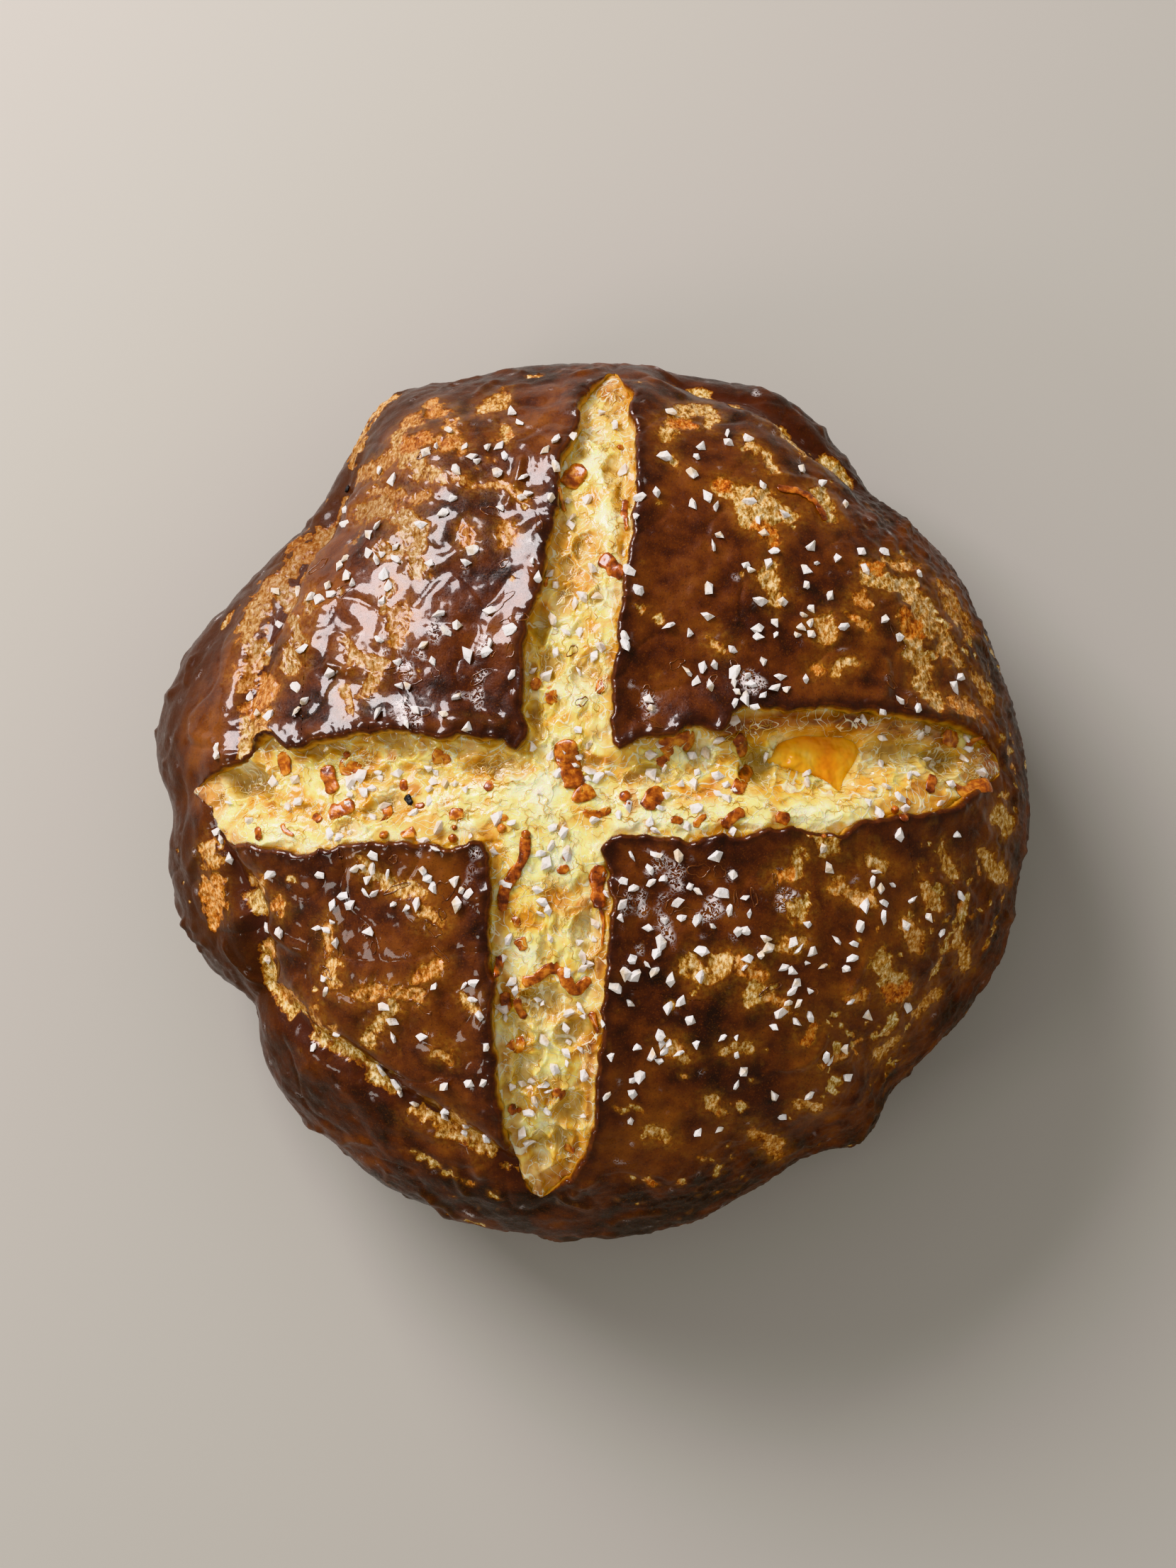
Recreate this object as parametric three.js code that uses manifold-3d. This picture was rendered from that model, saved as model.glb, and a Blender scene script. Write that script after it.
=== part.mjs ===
// A round cheddar sourdough loaf, cut with a cross before baking and scattered with coarse salt.
// Millimetres, +Z up. The origin is at the middle of the flat base that the loaf rests on.
// Seen from above, +Y is the back of the loaf and +X its right side.
import * as THREE from "three";
import { mergeVertices } from "three/addons/utils/BufferGeometryUtils.js";
import Module from "manifold-3d";

// ---- Driving dimensions of the loaf ----
const TOP_HEIGHT = 96; // crown of the dome above the table
const WAIST_HEIGHT = 38; // level of the widest girth
const WAIST_RADIUS = 107.8; // girth radius before the lobes are added
const BASE_INSET = 21; // how far the flat base stays inside the girth
const DOME_POWER = 2.6; // 2 is a plain ellipsoid, more is a flatter crown
const PLAN_SHIFT_X = 0.155; // centres the lobed outline on the origin
const PLAN_SHIFT_Y = 0.207;

// Lobes and hollows of the outline: bearing in degrees from +X, outward mm, spread in degrees.
const OUTLINE_LOBES = [
  [0, 1.7, 8],
  [15, -2.4, 8],
  [45, -2.2, 9],
  [66, 2.2, 6],
  [88, 2.6, 16],
  [117, 4.5, 5],
  [137, -6, 9],
  [150, -3.5, 5],
  [163, -3.2, 9],
  [170, 2.5, 7],
  [197, -2.6, 6],
  [211, -6, 6],
  [236, -3.4, 11],
  [250, 3, 14],
  [297, -2.2, 8],
  [308, 2, 3],
  [315, -3, 3],
  [321, -2.3, 4],
  [335, -2.6, 8],
  [339, 2.5, 5],
];

// Each arm of the cross: distance along the arm, then its two lips as offsets across it.
// The lips of the back and front arms are X offsets, those of the side arms Y offsets.
const BACK_ARM = [
  [5.2, -17.9, 5.4],
  [9, -16, 4.2],
  [20, -15.8, 4.4],
  [36, -14.6, 5.8],
  [45, -11.9, 6.9],
  [54, -10.3, 8.6],
  [68, -8.2, 9.7],
  [80, -5.2, 9.9],
  [91, -3, 9.2],
  [101, 4, 7],
];
const FRONT_ARM = [
  [-15.2, -26, 4],
  [-19, -23, 2.3],
  [-30, -23.7, 4],
  [-42, -23.7, 2.8],
  [-53, -22.7, 1.9],
  [-67, -22.4, 1],
  [-80, -20.8, -0.1],
  [-90, -17.5, -4],
  [-98, -15, -12],
];
const LEFT_ARM = [
  [-18, 5.2, -17.2],
  [-31, 8.1, -17.5],
  [-45, 9.5, -16],
  [-58, 8, -16.4],
  [-69, 5.6, -18],
  [-76, 13.5, -16.8],
  [-82, 5.5, -15.2],
  [-89, 2.8, -12],
  [-96, -0.6, -4],
];
const RIGHT_ARM = [
  [7, 5.1, -15],
  [14, 8.4, -14.8],
  [24, 10.4, -15.4],
  [35, 15, -14],
  [52, 15.4, -13.4],
  [66, 15, -10.5],
  [80, 13.1, -7.8],
  [89, 12.4, -3.5],
  [97, 8, 2],
];

// Depth of the opened crumb under the dome, across each arm from its first lip to its second.
const BACK_DEPTHS = [2.6, 4.6, 4.2, 3.2, 2.6, 3.4, 2.2];
const FRONT_DEPTHS = [1.8, 4, 3.2, 4, 3.4, 4.6, 1.8];
const LEFT_DEPTHS = [3, 5.6, 6, 4.8, 3.6, 2, 0.8];
const RIGHT_DEPTHS = [2.2, 6, 6.6, 5.2, 3.4, 1.8, 0.8];
const MIDDLE_DEPTH = 1.9; // the raised bridge of dough where the four arms meet
const MIDDLE = [-10, -9, 14]; // its place and spread
const HIDDEN_DEPTH = 13; // how far the crumb drops once it is under the crust
const TIP_RUN = 16; // the crumb climbs to the crust over this length at an arm's end
const TIP_DEPTH = 0.8;
const ARM_BLEND = 3; // mm over which one arm's floor passes into the next
const EDGE_START = 1; // outside the lips the crumb starts to drop away here
const EDGE_RUN = 5; // and has dropped after this much more

// Burst gas cells in the crumb: x, y, half length, half width, bearing in degrees, depth.
const GAS_CELLS = [
  [-11, 35, 9, 5, 80, 2.2],
  [-10, 21, 8, 6, 95, 1.8],
  [-7, 49, 6, 4, 70, 1.6],
  [4, 78, 7, 4, 85, 1.5],
  [-7, -54, 8, 6, 80, 2],
  [-13, -64, 9, 6, 100, 2.2],
  [-12, -82, 8, 5, 90, 2],
  [-8, -33, 6, 5, 60, 1.3],
  [-55, 3, 13, 4, 178, 2],
  [-84, -3, 8, 5, 150, 2],
  [-33, 2, 10, 4, 2, 1.6],
  [17, 2, 9, 4, 8, 1.6],
  [82, 4, 10, 6, 170, 2.4],
];

// The torn-open cavity in the right arm, and the pocket of molten cheddar in it.
const CAVITY = [53, 3.5, 17, 9, 4, 5.2]; // x, y, half length, half width, bearing, extra depth
const POOL_MIDDLE = [53.5, 4.6];
const POOL_RADIUS = 7.2;
const POOL_LOBES = [
  [177, 4.2, 22],
  [25, 4.6, 20],
  [310, 3.8, 11],
  [265, -2.4, 16],
];
const POOL_RISE = 2.6; // above its rim
const POOL_SINK = 3; // below its rim
const POOL_LEVEL = 8.2; // rim under the dome
const POOL_GAP = 0.3; // clearance of the recess that holds it

// Swellings of the skin: x, y, height, spread.
const SWELLS = [
  [-46, 40, 1.8, 24],
  [-30, 80, 1.2, 14],
  [44, 48, 1.6, 26],
  [72, 46, 1.4, 15],
  [-44, -44, 2, 22],
  [44, -48, 2.2, 26],
  [70, -38, 1.3, 14],
  [-62, 62, -1.6, 9],
  [-78, 24, -1.5, 8],
  [30, 92, -1.2, 9],
  [86, 32, 1.1, 8],
  [20, -92, 1.2, 10],
];
const LIP_RAISE = 2.4; // the crust curls up along the cuts
const LIP_SPREAD = 6;

// The shoulder crack between the cap and the side lobes: bearing, share of the outline radius.
const SHOULDER_CRACK = [
  [132, 0.93],
  [150, 0.86],
  [160, 0.82],
  [176, 0.76],
  [187, 0.84],
  [201, 0.83],
  [212, 0.91],
  [225, 0.83],
  [244, 0.81],
  [258, 0.84],
];
const BACK_TUCK = [
  [52, 0.95],
  [60, 0.93],
  [76, 0.95],
];
const CRACK_DEPTH = 3.2;
const CRACK_SPREAD = 0.03; // in shares of the outline radius
const CRACK_FADE = 9; // degrees over which a crack dies out
const BASE_RUN = 12; // the relief dies out over this height above the flat base

// Lobes of dough on the side: bearing, height, outward mm, spread in degrees, spread in mm.
const SIDE_LOBES = [
  [163, 46, 3.4, 14, 18],
  [197, 38, 3, 9, 16],
  [236, 40, 2.6, 16, 17],
  [275, 36, 1.6, 12, 15],
  [335, 40, 2.4, 12, 15],
  [15, 42, 1.6, 14, 16],
  [64, 46, 2, 9, 12],
  [110, 38, 1.8, 12, 15],
];
const SIDE_FOLDS = [
  [183, 40, -3.4, 4, 26],
  [212, 36, -3, 4, 24],
  [47, 40, -2.4, 4, 20],
  [300, 34, -1.8, 4, 20],
  [137, 40, -2.2, 5, 22],
];

// Places where the skin tore and stayed pale: x, y, half length, half width, bearing, depth.
const TORN_PATCHES = [
  [-45, 55, 7, 3.6, 105, 1.3],
  [-48, 32, 8, 3.4, 75, 1.3],
  [-72, 58, 12, 3, 60, 1.2],
  [-62, 26, 6, 3, 80, 1.1],
  [-79, 22, 8, 4, 70, 1.2],
  [-50, 80, 9, 3, 40, 1.1],
  [-24, 88, 8, 3, 20, 1.1],
  [26, 90, 8, 5, 25, 1.3],
  [39, 72, 8, 6, 165, 1.3],
  [44, 50, 5, 4, 60, 1.2],
  [73, 52, 7, 3.4, 0, 1.1],
  [80, 40, 7, 4, 30, 1.1],
  [80, 22, 7, 3.4, 50, 1],
  [-48, -21, 8, 2.6, 145, 1],
  [-52, -47, 11, 2.8, 10, 1.1],
  [-38, -84, 12, 3, 160, 1.2],
  [30, -42, 6, 4, 60, 1.2],
  [44, -40, 6, 4, 120, 1.2],
  [70, -46, 7, 4, 30, 1.1],
  [84, -20, 7, 4, 60, 1.1],
  [30, -82, 8, 3, 170, 1.1],
  [52, -58, 6, 4, 10, 1.1],
];

// Toasted cheddar shreds on the crumb: start, end, sideways bow, width.
const SHREDS = [
  [-6.8, 8, -3.6, -6, 1.5, 3.6],
  [16, -3.5, 11.5, -9, 0.5, 4.6],
  [34.3, -1.5, 31.5, -7.5, -0.6, 3.6],
  [41, -9.5, 29.5, -13, 1.4, 2.6],
  [-73.8, 7, -73.4, 0, 0.5, 2.8],
  [-63, 2.5, -60.5, -5, 0.8, 2.4],
  [2, -22, 1.2, -33, 0.8, 2.4],
  [2, 50, 6.4, 44.5, 0.8, 3],
  [-15.6, -17, -21, -30, 1.6, 2.2],
  [-15, -46, -1, -47, 2.2, 2.4],
  [-4.4, 75, -4, 71, 0.3, 4],
  [44, 71, 55, 62.5, 1, 2],
];
const SHRED_THICKNESS = 1.5;
const SHRED_STEPS = 6;
const SHRED_SINK = 0.35; // how much of the thickness is baked into the loaf
const SHRED_TAPER = 0.4; // how much narrower and thinner its ends are
const SHRED_ROOT = 1; // its hidden underside
const SHRED_CROWN = 0.2; // its edges lie this much lower than its middle

// Coarse salt: fields of grains as x, y, spread along X, spread along Y, count.
const SALT_FIELDS = [
  [-58, 1, 12, 4, 6],
  [-10, 28, 5, 22, 8],
  [17, 1, 20, 3, 8],
  [66, 2, 12, 4, 5],
  [-9, -72, 6, 14, 8],
  [-8, -34, 6, 12, 5],
  [-42, 44, 24, 24, 14],
  [44, 46, 26, 26, 20],
  [-46, -42, 20, 22, 12],
  [42, -48, 28, 24, 22],
];
const GRAIN_SIZE = 2.5;
const GRAIN_WIDTH = 0.9; // shares of its length
const GRAIN_HEIGHT = 0.85;
const GRAIN_SPACING = 4.2;
const GRAIN_SINK = 0.3; // share of a grain that lies in the skin
const GRAIN_TUMBLE = 0.5; // radians
const GRAIN_JITTER = 0.22; // how far a grain's corners stray, as a share of its size
const SALT_SEED = 4127;
const SALT_TRIES = 60;
const LIP_CLEARANCE = 2; // of a grain from the lips
const POOL_CLEARANCE = 15; // from the middle of the molten pocket
const SHRED_CLEARANCE = 6; // from a shred

// ---- Fineness of the faceted surfaces ----
const AROUND = 66; // segments round the loaf
const CROWN_RINGS = 19;
const SIDE_RINGS = 6;
const CRUMB_AROUND = 90;
const CRUMB_RINGS = 24;
const POOL_AROUND = 20;
const POOL_RINGS = 4;
const RING_EVENNESS = 1.25; // crowds the rings where the dome turns down
const SLIVER = 0.03; // edges shorter than this, left by the cuts, are closed up

const wasm = await Module();
wasm.setup();

// ---- Small helpers ----
const radians = (degrees) => (degrees * Math.PI) / 180;
const bell = (distance) => Math.exp(-distance * distance);
const clamp = (value, low, high) => Math.min(high, Math.max(low, value));
const smooth = (value) => {
  const t = clamp(value, 0, 1);
  return t * t * (3 - 2 * t);
};

// Difference of two bearings in degrees, from -180 to 180.
const turnBetween = (a, b) => ((((a - b + 180) % 360) + 360) % 360) - 180;

// Reads a value from a list of [place, value] stations that rise from first to last.
function between(stations, place, column = 1) {
  const last = stations.length - 1;
  if (place <= stations[0][0]) return stations[0][column];
  for (let i = 0; i < last; i++) {
    const [from, to] = [stations[i], stations[i + 1]];
    if (place <= to[0]) {
      const share = (place - from[0]) / (to[0] - from[0]);
      return from[column] + share * (to[column] - from[column]);
    }
  }
  return stations[last][column];
}

// 1 in the middle of a slanted ellipse, fading to 0 just outside it.
function ellipseShare(x, y, [middleX, middleY, halfLength, halfWidth, bearing]) {
  const [c, s] = [Math.cos(radians(bearing)), Math.sin(radians(bearing))];
  const along = ((x - middleX) * c + (y - middleY) * s) / halfLength;
  const across = ((y - middleY) * c - (x - middleX) * s) / halfWidth;
  return bell(Math.hypot(along, across) ** 2);
}

// A repeatable random number from 0 to 1.
function seededRandom(seed) {
  let state = seed >>> 0;
  return () => {
    state = (Math.imul(state, 1664525) + 1013904223) >>> 0;
    return state / 4294967296;
  };
}

// ---- The dome ----
function outlineRadius(bearing) {
  let radius = WAIST_RADIUS;
  for (const [at, outward, spread] of OUTLINE_LOBES) {
    radius += outward * bell(turnBetween(bearing, at) / spread / Math.SQRT2);
  }
  return radius;
}

// Height of the plain dome over a point of the plan.
function domeHeight(x, y) {
  const bearing = (Math.atan2(y, x) * 180) / Math.PI;
  const share = clamp(Math.hypot(x, y) / outlineRadius(bearing), 0, 1);
  return WAIST_HEIGHT + (TOP_HEIGHT - WAIST_HEIGHT) * Math.sqrt(1 - share ** DOME_POWER);
}

// The plain surface along a bearing: level 0 is the crown, 1 the waist and 2 the base's rim.
function domePoint(bearing, level) {
  const radius = outlineRadius(bearing);
  let [reach, height] = [0, 0];
  if (level <= 1) {
    const slope = (Math.PI / 2) * clamp(level, 0, 1) ** RING_EVENNESS;
    reach = radius * Math.sin(slope) ** (2 / DOME_POWER);
    height = WAIST_HEIGHT + (TOP_HEIGHT - WAIST_HEIGHT) * Math.cos(slope);
  } else {
    const slope = (Math.PI / 2) * clamp(level - 1, 0, 1);
    reach = radius - BASE_INSET * (1 - Math.cos(slope));
    height = WAIST_HEIGHT * (1 - Math.sin(slope));
  }
  const turn = radians(bearing);
  return new THREE.Vector3(reach * Math.cos(turn), reach * Math.sin(turn), height);
}

function domeNormal(bearing, level) {
  if (level < 0.02) return new THREE.Vector3(0, 0, 1);
  const [turnStep, levelStep] = [0.5, 0.01]; // degrees and levels
  const across = domePoint(bearing + turnStep, level).sub(domePoint(bearing - turnStep, level));
  const down = domePoint(bearing, level + levelStep).sub(domePoint(bearing, level - levelStep));
  return down.cross(across).normalize();
}

// ---- The cross ----
const across = (arm, column) => arm.map((station) => [station[column], station[0]]);
const along = (arm, column) => arm.map((station) => [station[0], station[column]]);

// The lips in one closed outline, anticlockwise from the inner corner at the back right.
const CROSS_OUTLINE = [
  ...across(BACK_ARM, 2),
  ...across(BACK_ARM, 1).reverse(),
  ...along(LEFT_ARM, 1),
  ...along(LEFT_ARM, 2).reverse(),
  ...across(FRONT_ARM, 1),
  ...across(FRONT_ARM, 2).reverse(),
  ...along(RIGHT_ARM, 2),
  ...along(RIGHT_ARM, 1).reverse(),
];

// Distance to the nearest lip, negative inside the cut.
function lipDistance(x, y) {
  let nearest = Infinity;
  let inside = false;
  CROSS_OUTLINE.forEach(([ax, ay], i) => {
    const [bx, by] = CROSS_OUTLINE[(i + 1) % CROSS_OUTLINE.length];
    const length2 = (bx - ax) ** 2 + (by - ay) ** 2;
    const share = clamp(((x - ax) * (bx - ax) + (y - ay) * (by - ay)) / length2, 0, 1);
    nearest = Math.min(nearest, Math.hypot(x - ax - share * (bx - ax), y - ay - share * (by - ay)));
    if (ay > y !== by > y && x < ax + ((y - ay) * (bx - ax)) / (by - ay)) inside = !inside;
  });
  return inside ? -nearest : nearest;
}

// Depth of the crumb in one arm, where run is the distance out along it.
function armDepth(arm, depths, run, offset) {
  const sign = Math.sign(arm[1][0]);
  const stations = arm.map(([place, first, second]) => [place * sign, first, second]);
  const first = between(stations, run, 1);
  const second = between(stations, run, 2);
  const share = (offset - first) / (second - first);
  const profile = depths.map((depth, i) => [i / (depths.length - 1), depth]);
  const end = stations[stations.length - 1][0];
  const rise = smooth((run - end + TIP_RUN) / TIP_RUN);
  return THREE.MathUtils.lerp(between(profile, share), TIP_DEPTH, rise);
}

function crumbDepth(x, y) {
  const arms = [
    [y - MIDDLE[1], armDepth(BACK_ARM, BACK_DEPTHS, y, x)],
    [MIDDLE[1] - y, armDepth(FRONT_ARM, FRONT_DEPTHS, -y, x)],
    [MIDDLE[0] - x, armDepth(LEFT_ARM, LEFT_DEPTHS, -x, y)],
    [x - MIDDLE[0], armDepth(RIGHT_ARM, RIGHT_DEPTHS, x, y)],
  ];
  const reach = Math.max(...arms.map(([run]) => run));
  let [sum, weight] = [0, 0];
  for (const [run, depth] of arms) {
    const share = Math.exp((run - reach) / ARM_BLEND);
    sum += share * depth;
    weight += share;
  }
  const bridge = bell(Math.hypot(x - MIDDLE[0], y - MIDDLE[1]) / MIDDLE[2]);
  let depth = THREE.MathUtils.lerp(sum / weight, MIDDLE_DEPTH, bridge);
  for (const cell of GAS_CELLS) depth += cell[5] * ellipseShare(x, y, cell);
  depth += CAVITY[5] * ellipseShare(x, y, CAVITY);
  return THREE.MathUtils.lerp(depth, HIDDEN_DEPTH, smooth((lipDistance(x, y) - EDGE_START) / EDGE_RUN));
}

// ---- The skin's relief ----
function crackAt(stations, bearing, share) {
  const [from, to] = [stations[0][0], stations[stations.length - 1][0]];
  const outside = Math.max(from - bearing, bearing - to, 0);
  const middle = between(stations, bearing);
  return bell((share - middle) / CRACK_SPREAD) * smooth(1 - outside / CRACK_FADE);
}

function crustRelief(point, bearing, level) {
  const { x, y, z } = point;
  let relief = 0;
  if (level <= 1) {
    for (const [sx, sy, rise, spread] of SWELLS) {
      relief += rise * bell(Math.hypot(x - sx, y - sy) / spread);
    }
    for (const patch of TORN_PATCHES) relief -= patch[5] * ellipseShare(x, y, patch);
    relief += LIP_RAISE * bell(Math.max(lipDistance(x, y), 0) / LIP_SPREAD);
    const share = Math.hypot(x, y) / outlineRadius(bearing);
    relief -= CRACK_DEPTH * crackAt(SHOULDER_CRACK, bearing, share);
    relief -= CRACK_DEPTH * crackAt(BACK_TUCK, bearing, share);
  }
  for (const [at, height, outward, turnSpread, heightSpread] of [...SIDE_LOBES, ...SIDE_FOLDS]) {
    const turn = turnBetween(bearing, at) / turnSpread;
    relief += outward * bell(turn) * bell((z - height) / heightSpread);
  }
  return relief * smooth(z / BASE_RUN);
}

// ---- Solids ----
function solidFrom(positions, faces) {
  const mesh = new wasm.Mesh({
    numProp: 3,
    vertProperties: new Float32Array(positions),
    triVerts: new Uint32Array(faces),
  });
  return new wasm.Manifold(mesh);
}

function solidFromGeometry(geometry) {
  geometry.deleteAttribute("normal");
  geometry.deleteAttribute("uv");
  const merged = mergeVertices(geometry, 1e-3);
  return solidFrom(merged.attributes.position.array, merged.index.array);
}

function geometryFrom(solid) {
  const { vertProperties, triVerts } = solid.getMesh();
  const geometry = new THREE.BufferGeometry();
  geometry.setAttribute("position", new THREE.BufferAttribute(vertProperties, 3));
  geometry.setIndex(new THREE.BufferAttribute(triVerts, 1));
  geometry.computeVertexNormals();
  return geometry;
}

// The largest shell alone: sealed hollows are filled and loose scraps dropped.
function outerSkin(solid) {
  return solid.decompose().reduce((kept, shell) => (shell.volume() > kept.volume() ? shell : kept));
}

// A closed skin of rings between a first and a last point, its faces turned out.
function ringSolid(first, rings, last) {
  const around = rings[0].length;
  const points = [first, ...rings.flat(), last];
  const faces = [];
  const at = (ring, step) => 1 + ring * around + (step % around);
  for (let step = 0; step < around; step++) {
    faces.push(0, at(0, step), at(0, step + 1));
    for (let ring = 0; ring < rings.length - 1; ring++) {
      faces.push(at(ring, step), at(ring + 1, step), at(ring + 1, step + 1));
      faces.push(at(ring, step), at(ring + 1, step + 1), at(ring, step + 1));
    }
    faces.push(points.length - 1, at(rings.length - 1, step + 1), at(rings.length - 1, step));
  }
  return solidFrom(points.flatMap((point) => point.toArray()), faces);
}

// A dome whose skin is moved along its normal by a relief function of the place.
function reliefDome(around, crownRings, relief) {
  const levels = [];
  for (let i = 1; i <= crownRings; i++) levels.push(i / crownRings);
  for (let i = 1; i <= SIDE_RINGS; i++) levels.push(1 + i / SIDE_RINGS);
  const rings = levels.map((level) => {
    const ring = [];
    for (let step = 0; step < around; step++) {
      const bearing = (360 * step) / around;
      const point = domePoint(bearing, level);
      const lift = relief(point, bearing, level);
      ring.push(point.addScaledVector(domeNormal(bearing, level), lift));
    }
    return ring;
  });
  for (const point of rings[rings.length - 1]) point.z = 0;
  const crown = domePoint(0, 0);
  crown.z += relief(crown, 0, 0);
  return ringSolid(crown, rings, new THREE.Vector3(0, 0, 0));
}

// Everything inside the lips, from under the crumb to above the crown.
function crossCutter() {
  const shape = new THREE.Shape(CROSS_OUTLINE.map(([x, y]) => new THREE.Vector2(x, y)));
  const geometry = new THREE.ExtrudeGeometry(shape, { depth: TOP_HEIGHT, bevelEnabled: false });
  geometry.translate(0, 0, WAIST_HEIGHT);
  return solidFromGeometry(geometry);
}

function crustSolid() {
  return reliefDome(AROUND, CROWN_RINGS, crustRelief).subtract(crossCutter());
}

// The crumb dips under the dome inside the cut, and stays hidden in the side below.
function crumbSolid() {
  return reliefDome(CRUMB_AROUND, CRUMB_RINGS, (point, bearing, level) => {
    if (level > 1) return -HIDDEN_DEPTH * smooth(point.z / BASE_RUN);
    return -crumbDepth(point.x, point.y);
  });
}

// A lens of molten cheddar; grow makes the recess a little larger all round.
function poolSolid(grow) {
  const [middleX, middleY] = POOL_MIDDLE;
  const reach = (bearing) => {
    let radius = POOL_RADIUS;
    for (const [at, outward, spread] of POOL_LOBES) {
      radius += outward * bell(turnBetween(bearing, at) / spread);
    }
    return radius;
  };
  const place = (bearing, share, lift) => {
    const turn = radians(bearing);
    const x = middleX + (reach(bearing) + grow) * share * Math.cos(turn);
    const y = middleY + (reach(bearing) + grow) * share * Math.sin(turn);
    return new THREE.Vector3(x, y, domeHeight(x, y) - POOL_LEVEL + lift);
  };
  const ring = (share, lift) => {
    const points = [];
    for (let step = 0; step < POOL_AROUND; step++) {
      points.push(place((360 * step) / POOL_AROUND, share, lift));
    }
    return points;
  };
  const rings = [];
  for (let i = 1; i < POOL_RINGS; i++) {
    const share = Math.sin((Math.PI / 2) * (i / POOL_RINGS));
    rings.push(ring(share, (POOL_RISE + grow) * Math.sqrt(1 - share * share)));
  }
  rings.push(ring(1, 0));
  for (let i = POOL_RINGS - 1; i > 0; i--) {
    const share = Math.sin((Math.PI / 2) * (i / POOL_RINGS));
    rings.push(ring(share, -(POOL_SINK + grow) * Math.sqrt(1 - share * share)));
  }
  return ringSolid(place(0, 0, POOL_RISE + grow), rings, place(0, 0, -POOL_SINK - grow));
}

// Height of the finished skin or crumb over a point of the plan.
function surfaceHeight(x, y) {
  const bearing = ((Math.atan2(y, x) * 180) / Math.PI + 360) % 360;
  const height = domeHeight(x, y);
  if (lipDistance(x, y) < 0) return height - crumbDepth(x, y);
  const flat = new THREE.Vector3(x, y, height);
  return height + crustRelief(flat, bearing, 0.5);
}

function surfaceNormal(x, y) {
  const step = 1.5;
  const slopeX = (domeHeight(x + step, y) - domeHeight(x - step, y)) / (2 * step);
  const slopeY = (domeHeight(x, y + step) - domeHeight(x, y - step)) / (2 * step);
  return new THREE.Vector3(-slopeX, -slopeY, 1).normalize();
}

// A strip of shredded cheddar that follows the surface between two points.
function shredSolid([startX, startY, endX, endY, bow, width]) {
  const start = new THREE.Vector2(startX, startY);
  const end = new THREE.Vector2(endX, endY);
  const side = new THREE.Vector2(startY - endY, endX - startX).normalize();
  const middle = start.clone().lerp(end, 0.5).addScaledVector(side, 2 * bow);
  const path = new THREE.QuadraticBezierCurve(start, middle, end);
  const rings = [];
  for (let step = 0; step <= SHRED_STEPS; step++) {
    const share = step / SHRED_STEPS;
    const taper = 1 - SHRED_TAPER * Math.abs(2 * share - 1) ** 3;
    const at = path.getPoint(share);
    const tangent = path.getTangent(share);
    const cross = new THREE.Vector2(-tangent.y, tangent.x).multiplyScalar((width * taper) / 2);
    const low = surfaceHeight(at.x, at.y) - SHRED_SINK * SHRED_THICKNESS;
    const top = low + SHRED_THICKNESS * taper;
    rings.push([
      new THREE.Vector3(at.x + cross.x, at.y + cross.y, low - SHRED_ROOT),
      new THREE.Vector3(at.x - cross.x, at.y - cross.y, low - SHRED_ROOT),
      new THREE.Vector3(at.x - cross.x, at.y - cross.y, top - SHRED_CROWN),
      new THREE.Vector3(at.x, at.y, top),
      new THREE.Vector3(at.x + cross.x, at.y + cross.y, top - SHRED_CROWN),
    ]);
  }
  const middleOf = (ring) => {
    const sum = new THREE.Vector3();
    for (const point of ring) sum.add(point);
    return sum.multiplyScalar(1 / ring.length);
  };
  return ringSolid(middleOf(rings[0]), rings, middleOf(rings[SHRED_STEPS]));
}

// One grain: a cube with strayed corners, tumbled a little and pressed into the skin.
function grainSolid(x, y, random) {
  const geometry = new THREE.BoxGeometry(GRAIN_SIZE, GRAIN_SIZE * GRAIN_WIDTH, GRAIN_SIZE * GRAIN_HEIGHT);
  geometry.deleteAttribute("normal");
  geometry.deleteAttribute("uv");
  const corners = mergeVertices(geometry, 1e-3);
  const place = corners.attributes.position;
  const stray = () => 1 - GRAIN_JITTER + 2 * GRAIN_JITTER * random();
  for (let i = 0; i < place.count; i++) {
    place.setXYZ(i, place.getX(i) * stray(), place.getY(i) * stray(), place.getZ(i) * stray());
  }
  corners.rotateX(GRAIN_TUMBLE * (random() - 0.5));
  corners.rotateY(GRAIN_TUMBLE * (random() - 0.5));
  corners.rotateZ(2 * Math.PI * random());
  const lift = GRAIN_SIZE * (0.5 - GRAIN_SINK);
  const normal = surfaceNormal(x, y);
  corners.applyQuaternion(new THREE.Quaternion().setFromUnitVectors(THREE.Object3D.DEFAULT_UP, normal));
  corners.translate(x + normal.x * lift, y + normal.y * lift, surfaceHeight(x, y) + normal.z * lift);
  return solidFromGeometry(corners);
}

// Places for the grains: each field is filled evenly, clear of the pool, lips and shreds.
function grainPlaces(random) {
  const places = [];
  const clearOf = (x, y) => {
    if (Math.abs(lipDistance(x, y)) < LIP_CLEARANCE) return false;
    if (Math.hypot(x - POOL_MIDDLE[0], y - POOL_MIDDLE[1]) < POOL_CLEARANCE) return false;
    for (const [ax, ay, bx, by] of SHREDS) {
      const detour = Math.hypot(x - ax, y - ay) + Math.hypot(x - bx, y - by) - Math.hypot(ax - bx, ay - by);
      if (detour < SHRED_CLEARANCE) return false;
    }
    return places.every(([px, py]) => Math.hypot(x - px, y - py) > GRAIN_SPACING);
  };
  for (const [middleX, middleY, spreadX, spreadY, count] of SALT_FIELDS) {
    let made = 0;
    for (let trial = 0; trial < SALT_TRIES * count && made < count; trial++) {
      const x = middleX + (2 * random() - 1) * spreadX;
      const y = middleY + (2 * random() - 1) * spreadY;
      if (!clearOf(x, y)) continue;
      places.push([x, y]);
      made += 1;
    }
  }
  return places;
}

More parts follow.
